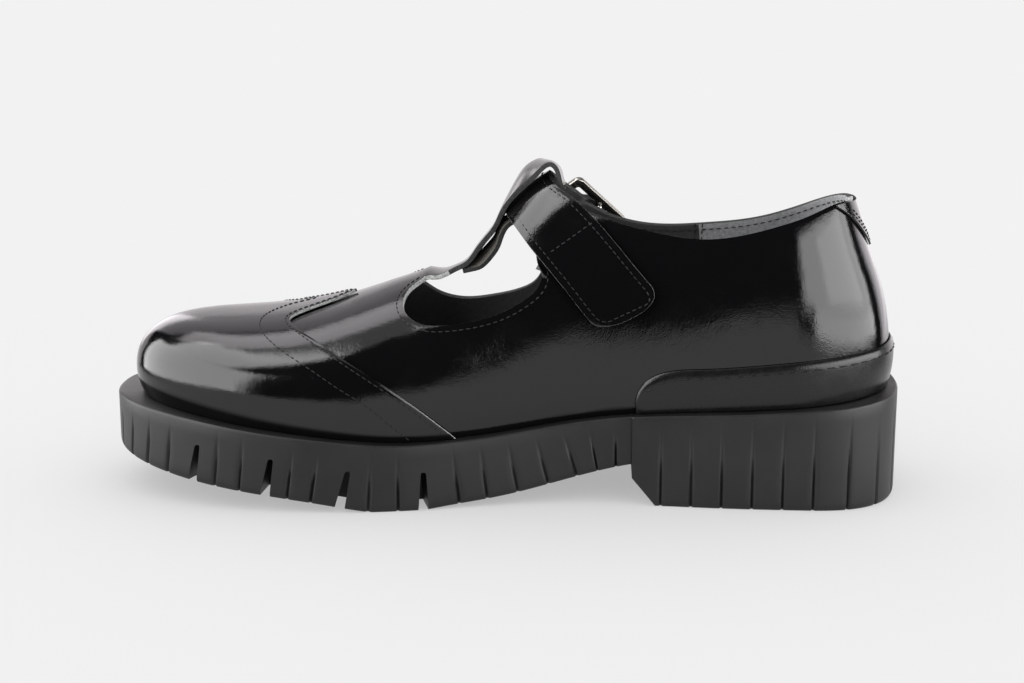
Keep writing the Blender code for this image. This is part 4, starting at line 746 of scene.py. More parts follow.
def tube(name, path, radius, finish, sides=20):
    """A round rod along a path, its ends domed."""
    path = np.asarray(path, float)
    run = unit(np.gradient(path, axis=0))
    side = unit(np.cross(run, ROD_SIDE))
    lift = np.cross(run, side)
    turns = np.linspace(0, 2 * PI, sides, endpoint=False)
    rings = []
    for end, sign in ((0, -1), (-1, 1)):
        caps = []
        for angle in map(math.radians, ROD_CAP):
            centre = path[end] + run[end] * sign * radius * math.sin(angle)
            caps.append((centre, side[end], lift[end], radius * math.cos(angle)))
        rings.append(caps)
    body = [(path[k], side[k], lift[k], radius) for k in range(len(path))]
    stack = rings[0] + body + rings[1][::-1]
    points = []
    for centre, across, up, size in stack:
        points.extend(centre + (across * math.cos(t) + up * math.sin(t)) * size for t in turns)
    rod = shell(name, points, ring_faces(len(stack), sides), finish)
    return settled(faced_out(rod), 60.0)


# --- finishes --------------------------------------------------------------------------------


def node(tree, kind, inputs=None, **settings):
    """A new node with its settings; each input is linked to a socket or given a value."""
    made = tree.nodes.new(kind)
    for name, value in settings.items():
        setattr(made, name, value)
    for name, value in (inputs or {}).items():
        if isinstance(value, bpy.types.NodeSocket):
            tree.links.new(value, made.inputs[name])
        else:
            made.inputs[name].default_value = value
    return made


BLACK = (0.002, 0.0019, 0.0021)


class Finish:
    """A material being built round its shader, with a place for each pattern."""

    def __init__(self, name, colour, roughness, **sockets):
        self.made = bpy.data.materials.new(name)
        self.made.use_nodes = True
        self.tree = self.made.node_tree
        self.shader = self.tree.nodes["Principled BSDF"]
        self.shader.inputs["Base Color"].default_value = (*colour, 1.0)
        self.shader.inputs["Roughness"].default_value = roughness
        for socket, value in sockets.items():
            self.shader.inputs[socket.replace("_", " ")].default_value = value
        self.places = node(self.tree, "ShaderNodeTexCoord").outputs["Object"]
        self.normal = None

    def stretched(self, scale):
        """The piece's own places, stretched."""
        inputs = {"Vector": self.places, "Scale": scale}
        return node(self.tree, "ShaderNodeMapping", inputs).outputs["Vector"]

    def noise(self, scale, detail=3.0, rough=0.5, distortion=0.0, places=None):
        """A cloudy pattern from 0 to 1."""
        inputs = {"Vector": places or self.places, "Scale": scale, "Detail": detail}
        inputs |= {"Roughness": rough, "Distortion": distortion}
        return node(self.tree, "ShaderNodeTexNoise", inputs).outputs["Fac"]

    def cells(self, scale):
        """A pebbled pattern."""
        inputs = {"Vector": self.places, "Scale": scale}
        return node(self.tree, "ShaderNodeTexVoronoi", inputs).outputs["Distance"]

    def mapped(self, value, low, high, to_low, to_high):
        """A value's range from low to high, mapped to another."""
        inputs = {"Value": value, "From Min": low, "From Max": high}
        inputs |= {"To Min": to_low, "To Max": to_high}
        return node(self.tree, "ShaderNodeMapRange", inputs).outputs["Result"]

    def mixed(self, share, first, second):
        """A colour between two, by a share."""
        inputs = {0: share}
        for place, colour in ((6, first), (7, second)):
            is_socket = isinstance(colour, bpy.types.NodeSocket)
            inputs[place] = colour if is_socket else (*colour, 1.0)
        return node(self.tree, "ShaderNodeMix", inputs, data_type="RGBA").outputs[2]

    def relief(self, height, depth, strength=1.0):
        """Adds a pattern's relief, its depth in millimetres, on those before it."""
        inputs = {"Height": height, "Distance": depth * MM, "Strength": strength}
        if self.normal is not None:
            inputs["Normal"] = self.normal
        self.normal = node(self.tree, "ShaderNodeBump", inputs).outputs["Normal"]

    def attribute(self, name):
        """A number that the piece's points carry."""
        return node(self.tree, "ShaderNodeAttribute", attribute_name=name).outputs["Fac"]

    def into(self, name, value):
        """Links a value to one of the shader's inputs."""
        self.tree.links.new(value, self.shader.inputs[name])

    def done(self):
        """The material, with its relief linked in."""
        if self.normal is not None:
            self.into("Normal", self.normal)
        return self.made


def polished_leather():
    """Polished black box leather: a fine grain under a glaze, with the waves of a lasted upper."""
    look = Finish("polished black leather", BLACK, 0.14, IOR=1.5)
    haze = look.noise(95.0, 4.0, 0.6)
    look.into("Roughness", look.mapped(haze, 0.3, 0.75, 0.05, 0.14))
    # painted shade: the leather's reflection is dimmed just above the sole
    reflection_shade = look.attribute("painted_sole_shade")
    look.into("Specular IOR Level", look.mapped(reflection_shade, 0.0, 0.3, 0.5, 0.06))
    specks = look.mapped(look.noise(900.0, 2.0, 0.7), 0.76, 0.84, 0.0, 1.0)
    look.into("Base Color", look.mixed(specks, BLACK, (0.02, 0.02, 0.021)))
    look.relief(look.noise(42.0, 2.0, 0.45), 0.9, 0.3)
    look.relief(look.noise(230.0, 3.0, 0.55, 0.4, look.stretched((1.0, 1.0, 0.8))), 0.13, 0.3)
    look.relief(look.noise(900.0, 3.0, 0.6, 0.6, look.stretched((1.2, 1.2, 0.6))), 0.05, 0.5)
    look.relief(look.cells(2300.0), 0.02, 0.5)
    return look.done()


def band_leather():
    """The heel band's duller, thicker black leather."""
    shine = {"IOR": 1.5, "Specular_IOR_Level": 0.4}
    look = Finish("dull black band leather", (0.003, 0.003, 0.003), 0.24, **shine)
    haze = look.noise(160.0, 4.0, 0.6)
    look.into("Roughness", look.mapped(haze, 0.3, 0.7, 0.2, 0.32))
    look.relief(look.noise(60.0, 2.0), 0.5, 0.3)
    look.relief(look.cells(1500.0), 0.03, 0.6)
    return look.done()


def fibre(name, dark, light, low, high):
    """The fibre of a cut leather edge, from one shade to another."""
    look = Finish(name, light, 0.85)
    strands = look.noise(1500.0, 4.0, 0.7)
    look.into("Base Color", look.mixed(look.mapped(strands, low, high, 0.0, 1.0), dark, light))
    look.relief(strands, 0.12, 0.8)
    return look.done()


def lining(name, dark, light, nap):
    """A lining leather between two shades, its nap catching light at its edges."""
    look = Finish(name, light, 0.75, Sheen_Weight=nap, Sheen_Roughness=0.5)
    nap_pattern = look.noise(1100.0, 4.0, 0.65)
    cloud = look.noise(70.0, 3.0, 0.5)
    look.into("Base Color", look.mixed(look.mapped(nap_pattern, 0.3, 0.75, 0.0, 1.0), dark, light))
    look.into("Roughness", look.mapped(cloud, 0.3, 0.7, 0.65, 0.9))
    look.relief(nap_pattern, 0.08, 0.6)
    return look.done()


def moulded_rubber():
    """Charcoal moulded rubber with a matt skin and faint dust."""
    shine = {"IOR": 1.5, "Specular_IOR_Level": 0.42}
    look = Finish("charcoal moulded rubber", (0.003, 0.003, 0.0029), 0.4, **shine)
    cloud = look.noise(45.0, 4.0, 0.6)
    dust = look.mapped(look.noise(2100.0, 2.0, 0.8), 0.69, 0.8, 0.0, 0.5)
    shade = look.mapped(cloud, 0.3, 0.72, 0.0, 1.0)
    ground = look.mixed(shade, (0.0025, 0.0025, 0.0024), (0.004, 0.004, 0.0038))
    look.into("Base Color", look.mixed(dust, ground, (0.06, 0.06, 0.057)))
    look.into("Roughness", look.mapped(cloud, 0.3, 0.7, 0.4, 0.54))
    look.relief(look.noise(260.0, 3.0), 0.06, 0.4)
    look.relief(look.noise(2400.0, 2.0), 0.025, 0.6)
    return look.done()


def thread_finish():
    look = Finish("waxed black thread", (0.002, 0.002, 0.002), 0.5, Specular_IOR_Level=0.3)
    look.relief(look.noise(3800.0, 2.0), 0.04, 0.7)
    return look.done()


def metal_finish():
    look = Finish("gunmetal plate", (0.32, 0.31, 0.285), 0.26, Metallic=1.0)
    brushed = look.noise(500.0, 3.0, 0.6, 0.0, look.stretched((1.0, 9.0, 9.0)))
    look.into("Roughness", look.mapped(brushed, 0.3, 0.7, 0.2, 0.34))
    look.relief(brushed, 0.01, 0.3)
    return look.done()


def bright_metal():
    look = Finish("bright steel pin", (0.62, 0.61, 0.59), 0.16, Metallic=1.0)
    look.relief(look.noise(700.0, 3.0), 0.01, 0.3)
    return look.done()


# --- thread ----------------------------------------------------------------------------------


def thread_tree():
    """Geometry Nodes that lay stitches along lines, each turned to its line and its surface."""
    tree = bpy.data.node_groups.new("thread rows", "GeometryNodeTree")
    inputs = {"Lines": "Geometry", "Pitch": "Float", "Stitch length": "Float"}
    inputs |= {"Thread width": "Float", "Wander": "Float", "Thread": "Material"}
    for name, kind in inputs.items():
        tree.interface.new_socket(name, in_out="INPUT", socket_type="NodeSocket" + kind)
    tree.interface.new_socket("Stitches", in_out="OUTPUT", socket_type="NodeSocketGeometry")

    def made(kind, inputs=None, output=0, **settings):
        return node(tree, kind, inputs, **settings).outputs[output]

    given = tree.nodes.new("NodeGroupInput").outputs
    lines = made("GeometryNodeMeshToCurve", {0: given["Lines"]})
    steps = {"Curve": lines, "Length": given["Pitch"]}
    steps = made("GeometryNodeResampleCurve", steps, mode="LENGTH")
    bead = made("GeometryNodeMeshUVSphere", {"Segments": 8, "Rings": 5, "Radius": 0.5}, "Mesh")
    align = "FunctionNodeAlignRotationToVector"
    along_line = made(align, {"Vector": made("GeometryNodeInputTangent")}, axis="X")
    out = {"Name": "out"}
    out = made("GeometryNodeInputNamedAttribute", out, data_type="FLOAT_VECTOR")
    upright = made(align, {"Rotation": along_line, "Vector": out}, axis="Z", pivot_axis="X")
    low = made("ShaderNodeMath", {0: given["Wander"], 1: -1.0}, operation="MULTIPLY")
    chance = {2: low, 3: given["Wander"], "Seed": 7}
    chance = made("FunctionNodeRandomValue", chance, 1, data_type="FLOAT")
    tilt = made("ShaderNodeCombineXYZ", {"Z": chance})
    spin = {0: upright, 1: made("FunctionNodeEulerToRotation", {0: tilt})}
    turned = made("FunctionNodeRotateRotation", spin, rotation_space="LOCAL")
    width = given["Thread width"]
    size = made("ShaderNodeCombineXYZ", {"X": given["Stitch length"], "Y": width, "Z": width})
    laid = {"Points": steps, "Instance": bead, "Rotation": turned, "Scale": size}
    real = made("GeometryNodeRealizeInstances", {0: made("GeometryNodeInstanceOnPoints", laid)})
    painted = made("GeometryNodeSetMaterial", {"Geometry": real, "Material": given["Thread"]})
    node(tree, "NodeGroupOutput", {0: painted})
    return tree


def stitched(name, rows, stitch):
    """One piece of thread from rows of points and outward directions."""
    points, outs, edges = [], [], []
    for row_points, row_outs in rows:
        start = len(points)
        points.extend(row_points)
        outs.extend(row_outs)
        edges += [(start + k, start + k + 1) for k in range(len(row_points) - 1)]
    mesh = bpy.data.meshes.new(name)
    mesh.from_pydata(metres(points).tolist(), edges, [])
    out = mesh.attributes.new("out", "FLOAT_VECTOR", "POINT")
    out.data.foreach_set("vector", np.asarray(outs, np.float32).ravel())
    piece = placed(name, mesh)
    laying = piece.modifiers.new("stitches", "NODES")
    laying.node_group = THREAD_TREE
    sizes = {"Pitch": stitch.pitch * MM, "Stitch length": stitch.length * MM}
    sizes |= {"Thread width": stitch.width * MM, "Wander": stitch.wander, "Thread": THREAD}
    for item in THREAD_TREE.interface.items_tree:
        if item.name in sizes:
            laying[item.identifier] = sizes[item.name]
    return settled(piece, 80.0)


def beside(path, distance, lift, toward):
    """A line on the form beside another, towards a point's side, and the way out of the form."""
    path = on_form(path)
    run = np.gradient(path, axis=0)
    normal, _ = form_normal(path)
    side = unit(np.cross(normal, run))
    lean = np.einsum("ij,ij->i", side, np.asarray(toward) - path)
    side = side * np.sign(lean.sum())
    moved = on_form(path + side * distance)
    normal, _ = form_normal(moved)
    return moved + normal * lift, normal


# --- sole ------------------------------------------------------------------------------------


def sole_half_width(x):
    """Half the sole's width at a station, closing to nothing at toe and heel."""
    half = sole_column("half", x)
    toe_start, toe_tip = SOLE_TOE_START * LENGTH / 100, MIDDLE + LENGTH / 2
    heel_start, heel_tip = SOLE_HEEL_START * LENGTH / 100, MIDDLE + HEEL_PROUD - LENGTH / 2
    toe = np.clip((x - toe_start) / (toe_tip - toe_start), 0, 1)
    heel = np.clip((heel_start - x) / (heel_start - heel_tip), 0, 1)
    toe_share = np.clip(1 - toe**SOLE_TOE_POWER, 0, 1) ** (1 / SOLE_TOE_POWER)
    heel_share = np.clip(1 - heel**SOLE_HEEL_POWER, 0, 1) ** (1 / SOLE_HEEL_POWER)
    return half * toe_share * heel_share


def sole_side(side, samples=1200):
    """One side of the sole's outline, from the middle of the heel to the tip of the toe."""
    turn = np.linspace(0, PI, samples)
    x = MIDDLE + (HEEL_PROUD - np.cos(turn) * (LENGTH - HEEL_PROUD)) / 2
    y = sole_column("centre", x) + side * sole_half_width(x)
    return np.column_stack([x, y])


def tread_height(x):
    """The underside: the forepart's tread, the arch, the breast's bevel and the heel."""
    bottom = np.maximum(sole_column("bottom", x), 0.0)
    bevel = BREAST_BEVEL_RISE * (x - BREAST + BREAST_BEVEL_RUN) / BREAST_BEVEL_RUN
    heel = np.clip(bevel, 0.0, BREAST_BEVEL_RISE)
    return np.where(x <= BREAST, heel, bottom)


class Outline:
    """One side of the sole's outline, measured from the tip of the toe."""

    def __init__(self, side):
        self.side = side
        self.path = sole_side(side)[::-1]
        self.lengths = path_length(self.path)
        self.whole = self.lengths[-1]
        self.breast = self.distance_at(BREAST)

    def distance_at(self, x):
        """How far from the tip of the toe the outline reaches a station."""
        return float(np.interp(-x, -self.path[:, 0], self.lengths))

    def place(self, distance):
        """The outline's point, its direction to the heel and its outward direction there."""
        at = [distance - RUN_REACH, distance, distance + RUN_REACH]
        back, point, ahead = along(self.path, np.clip(at, 0.0, self.whole))
        run = (ahead - back) / np.linalg.norm(ahead - back)
        out = np.array([-run[1], run[0]]) * -self.side
        return point, run, out


def groove_places(outline):
    """The side's grooves, its notches' stations and the heel's grooves."""
    stations = [NOTCH_FIRST + k * NOTCH_STEP for k in range(NOTCH_COUNT)]
    last = outline.distance_at(stations[-1])
    front = list(np.arange(last - RIB_PITCH_TOE, RIB_PITCH_TOE / 3, -RIB_PITCH_TOE))
    for k in range(NOTCH_COUNT - 1):
        front += [outline.distance_at(stations[k] + share * NOTCH_STEP) for share in (1 / 3, 2 / 3)]
    arch = np.arange(NOTCH_FIRST - RIB_PITCH_ARCH, BREAST + RIB_PITCH_ARCH / 3, -RIB_PITCH_ARCH)
    front += [outline.distance_at(x) for x in arch]
    heel = [outline.distance_at(RIB_HEEL_FIRST - k * RIB_PITCH_HEEL) for k in range(RIB_HEEL_COUNT)]
    pitch = (outline.whole - heel[-1]) / (RIB_HEEL_ROUND + 0.5)
    heel += [heel[-1] + (k + 1) * pitch for k in range(RIB_HEEL_ROUND)]
    return front, stations, heel


def tread_slope(x):
    """How steeply the forepart's tread rises toward the toe, which its grooves lean with."""
    ends = np.array([x - SLOPE_REACH, x + SLOPE_REACH])
    ends = np.maximum(sole_column("bottom", ends), 0.0)
    fade = np.clip((x - BREAST) / LEAN_FADE - LEAN_START, 0.0, 1.0)
    return float((ends[1] - ends[0]) / (2 * SLOPE_REACH) * fade)


def notch_profile():
    """A notch's face: upright at its rear, sloped at its front, round at its head."""
    half = NOTCH_HEAD / 2
    flat = half * NOTCH_FLAT
    shoulder, top = NOTCH_HEIGHT - half, NOTCH_HEIGHT - half * NOTCH_ROUND
    head = [(half, shoulder), (flat, top), (-flat, top), (-half, shoulder)]
    foot = half - NOTCH_FOOT
    return [(half, -NOTCH_BELOW), *head, (foot, 0.0), (foot - NOTCH_FLARE, -NOTCH_BELOW)]


def groove_share(distance, grooves):
    """How far into a groove's V a place lies: 0 outside and 1 at its bottom."""
    nearest = min(abs(distance - groove) for groove in grooves)
    return eased(max(0.0, 1 - nearest / (RIB_WIDTH / 2)))


def sole_stations(outline, grooves):
    """Distances from the toe's tip where the sole's rings stand, closer round the grooves."""
    places = list(np.arange(TIP_START, outline.whole - TIP_START, RING_SPACING))
    for groove in grooves:
        places += [groove + RIB_WIDTH / 2 * share for share in GROOVE_RINGS]
    places += [outline.breast - BREAST_STEP, outline.breast, outline.breast + BREAST_BEVEL_RUN]
    places.append(outline.whole - TIP_START)
    kept = []
    for place in sorted(p for p in places if TIP_START <= p <= outline.whole - TIP_START):
        if not kept or place - kept[-1] > RING_LEAST:
            kept.append(place)
    return kept


def side_profile(height):
    """Down one side of the sole: the drop, how deep a groove is there, and the edge's rounding."""
    levels = [(drop, 0.0, TOP_ROUND * inset) for drop, inset in TOP_LEVELS]
    straight = height - RIB_START - EDGE_ROUND
    for share in np.linspace(0, 1, SIDE_ROWS):
        levels.append((RIB_START + straight * share, min(1.0, GROOVE_OPENING * share), 0.0))
    for angle in map(math.radians, FOOT_TURNS):
        drop = height - EDGE_ROUND * (1 - math.sin(angle))
        levels.append((drop, 1.0, FOOT_ROUND * (1 - math.cos(angle))))
    return levels


def side_points(outline, distance, groove, is_heel):
    """The points down one side of the sole at a station, from its top edge to its tread."""
    point, run, _ = outline.place(distance)
    height = bed_height(point[0]) - tread_height(point[0])
    lean = 0.0 if is_heel else tread_slope(point[0]) * abs(run[0]) * height
    proud = HEEL_PROUD if is_heel else 0.0
    points = []
    for drop, deep, inset in side_profile(height):
        share = drop / height
        place, _, out = outline.place(max(distance - lean * share, TIP_START / 2))
        x = BREAST + BREAST_STEP if not is_heel and place[0] < BREAST else place[0]
        top, bottom = bed_height(x), tread_height(min(x, BREAST) if is_heel else x)
        flat = place + out * (proud - inset - deep * groove * RIB_DEPTH)
        points.append([flat[0], flat[1], top + (bottom - top) * share])
    points.append([*(place + out * (proud - TREAD_EDGE)), bottom])
    return points


def block(profile, across, start, ahead):
    """A closed bar from a start along ahead; its profile is in steps along across and up."""
    start, ahead, across = (np.asarray(given) for given in (start, ahead, across))
    points = []
    for reach in (0.0, 1.0):
        points += [start + ahead * reach + across * t + [0, 0, height] for t, height in profile]
    return points, ring_faces(2, len(profile))


def joined(name, blocks):
    """Several closed shapes as one cutter."""
    points, faces = [], []
    for part_points, part_faces in blocks:
        start = len(points)
        points.extend(part_points)
        faces += [tuple(start + k for k in face) for face in part_faces]
    return faced_out(shell(name, points, faces))


def notch_blocks(outlines, notches):
    """The notches' cutters on both sides, each leaning with the tread above it."""
    blocks = []
    for outline in outlines:
        for x in notches:
            place, run, out = outline.place(outline.distance_at(x))
            slope = tread_slope(place[0])
            profile = [(t + slope * (z - NOTCH_LEAN_LEVEL), z) for t, z in notch_profile()]
            start = [*(place + out * NOTCH_AHEAD), tread_height(place[0])]
            ahead = [*(-out * (NOTCH_DEPTH + NOTCH_AHEAD)), 0.0]
            blocks.append(block(profile, [*run, 0.0], start, ahead))
    return blocks


def tread_blocks(side):
    """Shallow channels across one side of the tread, from its middle to near its edge."""
    blocks = []
    for row in TREAD:
        half = row.wide / 2
        profile = [(-half, -CHANNEL_BELOW), (half, -CHANNEL_BELOW)]
        profile += [(half * CHANNEL_FLOOR, row.deep), (-half * CHANNEL_FLOOR, row.deep)]
        floor = float(tread_height(np.array(row.x)))
        centre = float(sole_column("centre", row.x))
        start = [row.x, centre - side * CHANNEL_OVERLAP, floor]
        ahead = [row.sweep, side * row.reach, 0.0]
        blocks.append(block(profile, [1.0, 0.0, 0.0], start, ahead))
    return blocks


def make_sole():
    """The moulded sole and its heel, with grooved sides, notches and a channelled tread."""
    inner, outer = Outline(1), Outline(-1)
    front, notches, heel = groove_places(inner)
    rings = []
    for distance in sole_stations(inner, front + heel):
        is_heel = distance >= inner.breast
        groove = groove_share(distance, heel if is_heel else front)
        station = inner.place(distance)[0][0]
        near = side_points(inner, distance, groove, is_heel)
        far = side_points(outer, outer.distance_at(station), groove, is_heel)
        rings.append(near + far[::-1])
    faces = ring_faces(len(rings), len(rings[0]))
    sole = faced_out(shell("rubber_sole", np.concatenate(rings), faces, RUBBER))
    cuts = joined("cuts", notch_blocks((inner, outer), notches))
    channels = [joined("channels", tread_blocks(side)) for side in (1, -1)]
    taken_out(sole, cuts, *channels)
    return worn(sole, "sole_rubber", "sole")


# --- upper -----------------------------------------------------------------------------------


def t_bar_rows(root):
    """The rows of the T-bar above its root, each across from the inner side to the outer."""
    middle = np.array(T_BAR + T_BAR_UNDER + T_BAR_END)
    first = [root[:, 0].mean(), root[:, 2].max(), middle[0, 2], 0.0, T_BAR_BOW]
    path = np.vstack([first, middle])
    lengths = path_length(path[:, :2])
    under = lengths[len(T_BAR) + 1], lengths[len(T_BAR) + len(T_BAR_UNDER)]
    count = round(lengths[-1] / T_BAR_SPACING)
    rows = []
    for at in np.linspace(0, lengths[-1], count + 1)[1:]:
        x, z, half, tilt, bow = (float(spline(lengths, path[:, i], at)) for i in range(5))
        share = np.linspace(1, -1, T_BAR_COLUMNS + 1)
        bow = bow * share**2
        height = z - bow - share * tilt / 2
        row = np.column_stack([x - T_BAR_BOW_LEAN * bow, share * half + T_BAR_CENTRE, height])
        into = min(at - under[0], under[1] - at) / T_BAR_EASE
        if into > -1:
            ease = eased(min(into + 1, 1.0))
            row = row + (on_form(row, -T_BAR_SINK) - row) * ease
        rows.append(row)
    return np.array(rows)


def creased(points):
    """The leather's soft troughs and ridges, as listed."""
    normal, _ = form_normal(points)
    depth = np.zeros(points.shape[:-1])
    for row in CREASES:
        start, end = np.array([row.x, row.y, row.z]), np.array([row.to_x, row.to_y, row.to_z])
        run = end - start
        share = ((points - start) @ run) / (run @ run)
        near = np.clip(share, 0.0, 1.0)
        away = np.linalg.norm(points - (start + near[..., None] * run), axis=-1)
        taper = np.sin(PI * np.clip(share, 0.0, 1.0)) ** 0.7
        depth += row.depth * np.exp(-((away / row.width) ** 2)) * taper
    return points - normal * depth[..., None]


def make_upper():
    """Vamp, quarters and T-bar as one lined wall, open at the collar, the cut-outs and below."""
    outer_edge = TOPLINE_OUTER + [TOPLINE_INNER[0]._replace(foot=100.0)]
    inner_tops, inner_feet = edge_columns(TOPLINE_INNER, COLUMN_SPACING, FOOT_SPACING)
    outer_tops, outer_feet = edge_columns(outer_edge, COLUMN_SPACING, FOOT_SPACING)
    shares = np.linspace(0, 1, T_BAR_COLUMNS + 1)[1:-1]
    root = inner_tops[-1] + (outer_tops[0] - inner_tops[-1]) * shares[:, None]
    root = on_form(root + [0.0, 0.0, ROOT_RISE])
    root_feet = inner_feet[-1] + (outer_feet[0] - inner_feet[-1]) * shares
    tops = np.vstack([inner_tops, root, outer_tops[:-1]])
    feet = np.concatenate([inner_feet, root_feet, outer_feet[:-1]])
    grid = off_form(creased(band_grid(tops, feet, UPPER_ROWS)), 0.0)
    columns, rows = grid.shape[:2]
    points = list(grid.reshape(-1, 3))
    faces = grid_faces(columns, rows, closed=True)
    first = len(inner_tops) - 1
    below = [(first + k) * rows + rows - 1 for k in range(T_BAR_COLUMNS + 1)]
    bar = t_bar_rows(grid[first : first + T_BAR_COLUMNS + 1, -1])
    for row in bar:
        start = len(points)
        points.extend(row)
        above = [start + k for k in range(T_BAR_COLUMNS + 1)]
        faces += [(below[k], above[k], above[k + 1], below[k + 1]) for k in range(T_BAR_COLUMNS)]
        below = above
    finishes = LEATHER, LINING, CUT_EDGE, WORN_EDGE_AND_HIGHLIGHT, HEEL_LINING, FLESH
    upper = shell("leather_upper", points, faces, *finishes)
    walled(upper, WALL, -1, EDGE_ROUNDING, inner=1, rim=2, corner=3)
    settled(upper)
    lining, cut, worn_edge_and_highlight, heel_lining, flesh = range(1, 6)
    limit = (LINING_SEAM - MIDDLE) * MM
    for face in upper.data.polygons:
        x, y, z = face.center
        on_bar = abs(y) < BAR_REACH * MM and z > BAR_FOOT * MM and x > limit / 2
        # painted highlight: on the inner side the cut edges take the light edge finish
        if face.material_index == cut and not on_bar and y > 0:
            face.material_index = worn_edge_and_highlight
        elif face.material_index == worn_edge_and_highlight and on_bar:
            face.material_index = cut
        elif face.material_index == lining and on_bar:
            face.material_index = flesh
        elif face.material_index == lining and x < limit:
            face.material_index = heel_lining
    worn(painted_sole_shade(upper), "black_leather", "upper")
    return grid, first, len(inner_tops)


def band(name, edge, finish, rows, offset, wall, pad, edge_share):
    """A piece laid on the upper between the sole's edge and an edge of its own.

    Its wall grows from edge_share of itself at the edge to the whole at pad millimetres in. An
    edge that keeps most of the wall is cut square and shows its fibre, painted lighter on the
    inner side as a highlight.
    """
    tops, feet = edge_columns(edge, BAND_SPACING, BAND_FOOT_SPACING)
    grid = band_grid(tops, feet, rows)
    to_top = np.linalg.norm(grid - grid[:, -1:], axis=-1)
    ends = [np.linalg.norm(grid - grid[k][None], axis=-1) for k in (0, -1)]
    away = np.minimum(to_top, np.minimum(*ends))
    full = np.clip(1 - (1 - np.clip(away / pad, 0, 1)) ** 2, 0, 1) ** 0.5
    thick = wall * (edge_share + (1 - edge_share) * full)
    near, far = off_form(grid, offset), off_form(grid, offset + thick[..., None])
    faces = shell_faces(*grid.shape[:2])
    points = np.concatenate([near.reshape(-1, 3), far.reshape(-1, 3)])
    piece = faced_out(shell(name, points, faces, finish, CUT_EDGE, WORN_EDGE_AND_HIGHLIGHT))
    is_square = edge_share > 0.5
    if is_square:
        sides = 2 * (grid.shape[0] - 1) * (grid.shape[1] - 1)
        # painted highlight: square edges on the inner side take the light edge finish, the outer
        # side's stay dark
        for face in piece.data.polygons[sides:]:
            face.material_index = 2 if face.center.y > 0 else 1
    rounded(piece, EDGE_ROUNDING, 2, corner=2 if is_square else -1)
    return settled(piece), tops


def make_cap():
    """The wing-tip cap with a row of thread along its edge and one on its face."""
    sizes = {"rows": WING_ROWS, "offset": CAP_OFFSET, "wall": CAP_WALL}
    cap, tops = band("wing_tip_cap", WING, LEATHER, pad=2.0, edge_share=0.85, **sizes)
    worn(painted_sole_shade(cap), "black_leather", "toe_cap")
    lift = CAP_OFFSET + CAP_WALL
    toe = tops * 0 + [TOE_TIP * LENGTH / 100, 0.0, 30.0]
    rows = [beside(tops[2:-2], CAP_ROW, lift + THREAD_LIFT, toe[2:-2])]
    second, _ = edge_columns(WING_SECOND_ROW, WING_ROW_SPACING, BAND_FOOT_SPACING)
    rows.append(beside(second, 0.0, lift + THREAD_LIFT, second + [1.0, 0.0, 0.0]))
    worn(stitched("wing_thread", rows, WING_STITCH), "black_leather")


def make_rand():
    """The padded band round the heel's foot with its row of thread."""
    outer = [Edge(row.x, -row.y, row.z, -row.foot) for row in RAND[:-1]]
    edge = outer + RAND[::-1]
    sizes = {"rows": RAND_ROWS, "offset": GAP, "wall": RAND_WALL, "pad": 3.2, "edge_share": 0.3}
    rand, tops = band("heel_band", edge, BAND_LEATHER, **sizes)
    worn(rand, "matt_leather", "heel_rand")
    low = tops * 0 + [-90.0, 0.0, 0.0]
    row = beside(tops[7:-7], RAND_ROW, GAP + RAND_WALL + THREAD_LIFT, low[7:-7])
    worn(stitched("band_thread", [row], BAND_STITCH), "matt_leather")


def make_seam_tab():
    """The patch over the top of the heel's seam, with two rows of thread along its lower edge."""
    rim = TOPLINE_OUTER[-SEAM_TAB_RIM:] + TOPLINE_INNER[: SEAM_TAB_RIM + 1]
    points = []
    for share in np.linspace(-1, 1, SEAM_TAB_COLUMNS):
        y = share * SEAM_TAB_HALF
        x, z = (float(column(rim, "y", name, y)) for name in "xz")
        drop = SEAM_TAB_DROP * (1 - abs(share) ** SEAM_TAB_POWER) + SEAM_TAB_MARGIN
        for level in np.linspace(1, 0, SEAM_TAB_ROWS):
            fall = SEAM_TAB_MARGIN + drop * level
            points.append([x - SEAM_TAB_LEAN * fall, y, z - fall])
    points = on_form(np.array(points), GAP)
    faces = grid_faces(SEAM_TAB_COLUMNS, SEAM_TAB_ROWS)
    tab = shell("seam_patch", points, faces, LEATHER, CUT_EDGE, WORN_EDGE_AND_HIGHLIGHT)
    walled(tab, TAB_WALL, 1, SEAM_TAB_ROUNDING, inner=0, rim=1, corner=2)
    worn(settled(tab), "black_leather", "seam_tab")
    low = points.reshape(SEAM_TAB_COLUMNS, SEAM_TAB_ROWS, 3)[:, 0]
    above = low + [4.0, 0.0, 12.0]
    lift = GAP + TAB_WALL + THREAD_LIFT
    rows = []
    for skip, distance in PATCH_ROWS:
        rows.append(beside(low[skip:-skip], distance, lift, above[skip:-skip]))
    worn(stitched("patch_thread", rows, PATCH_STITCH), "black_leather")


def make_upper_thread(grid, first, count):
    """The rows round the cut-outs and the collar, and the lining's seams."""
    rows = []
    inner, outer = grid[: first + 1], grid[first + T_BAR_COLUMNS :]
    hooks = TOPLINE_INNER[CUT_OUT_FROM], TOPLINE_OUTER[-CUT_OUT_FROM]
    for side, hook in zip((inner, outer[::-1]), hooks):
        tops, below = side[:, -1], side[:, BELOW_EDGE]
        start = int(np.argmin(np.linalg.norm(tops - [hook.x, hook.y, hook.z], axis=1)))
        rows.append(beside(tops[start:-2], UPPER_ROW, THREAD_LIFT, below[start:-2]))
    worn(stitched("upper_thread", rows, UPPER_STITCH), "black_leather")
    collar = []
    last = count + T_BAR_COLUMNS
    for side in (grid[COLLAR_SKIP : first - COLLAR_END], grid[last + COLLAR_END : -COLLAR_SKIP]):
        path, normal = beside(side[:, -1], UPPER_ROW, -WALL - THREAD_LIFT, side[:, BELOW_EDGE])
        collar.append((path, -normal))
    collar += lining_seams()
    worn(stitched("lining_thread", collar, LINING_STITCH), "lining_leather")


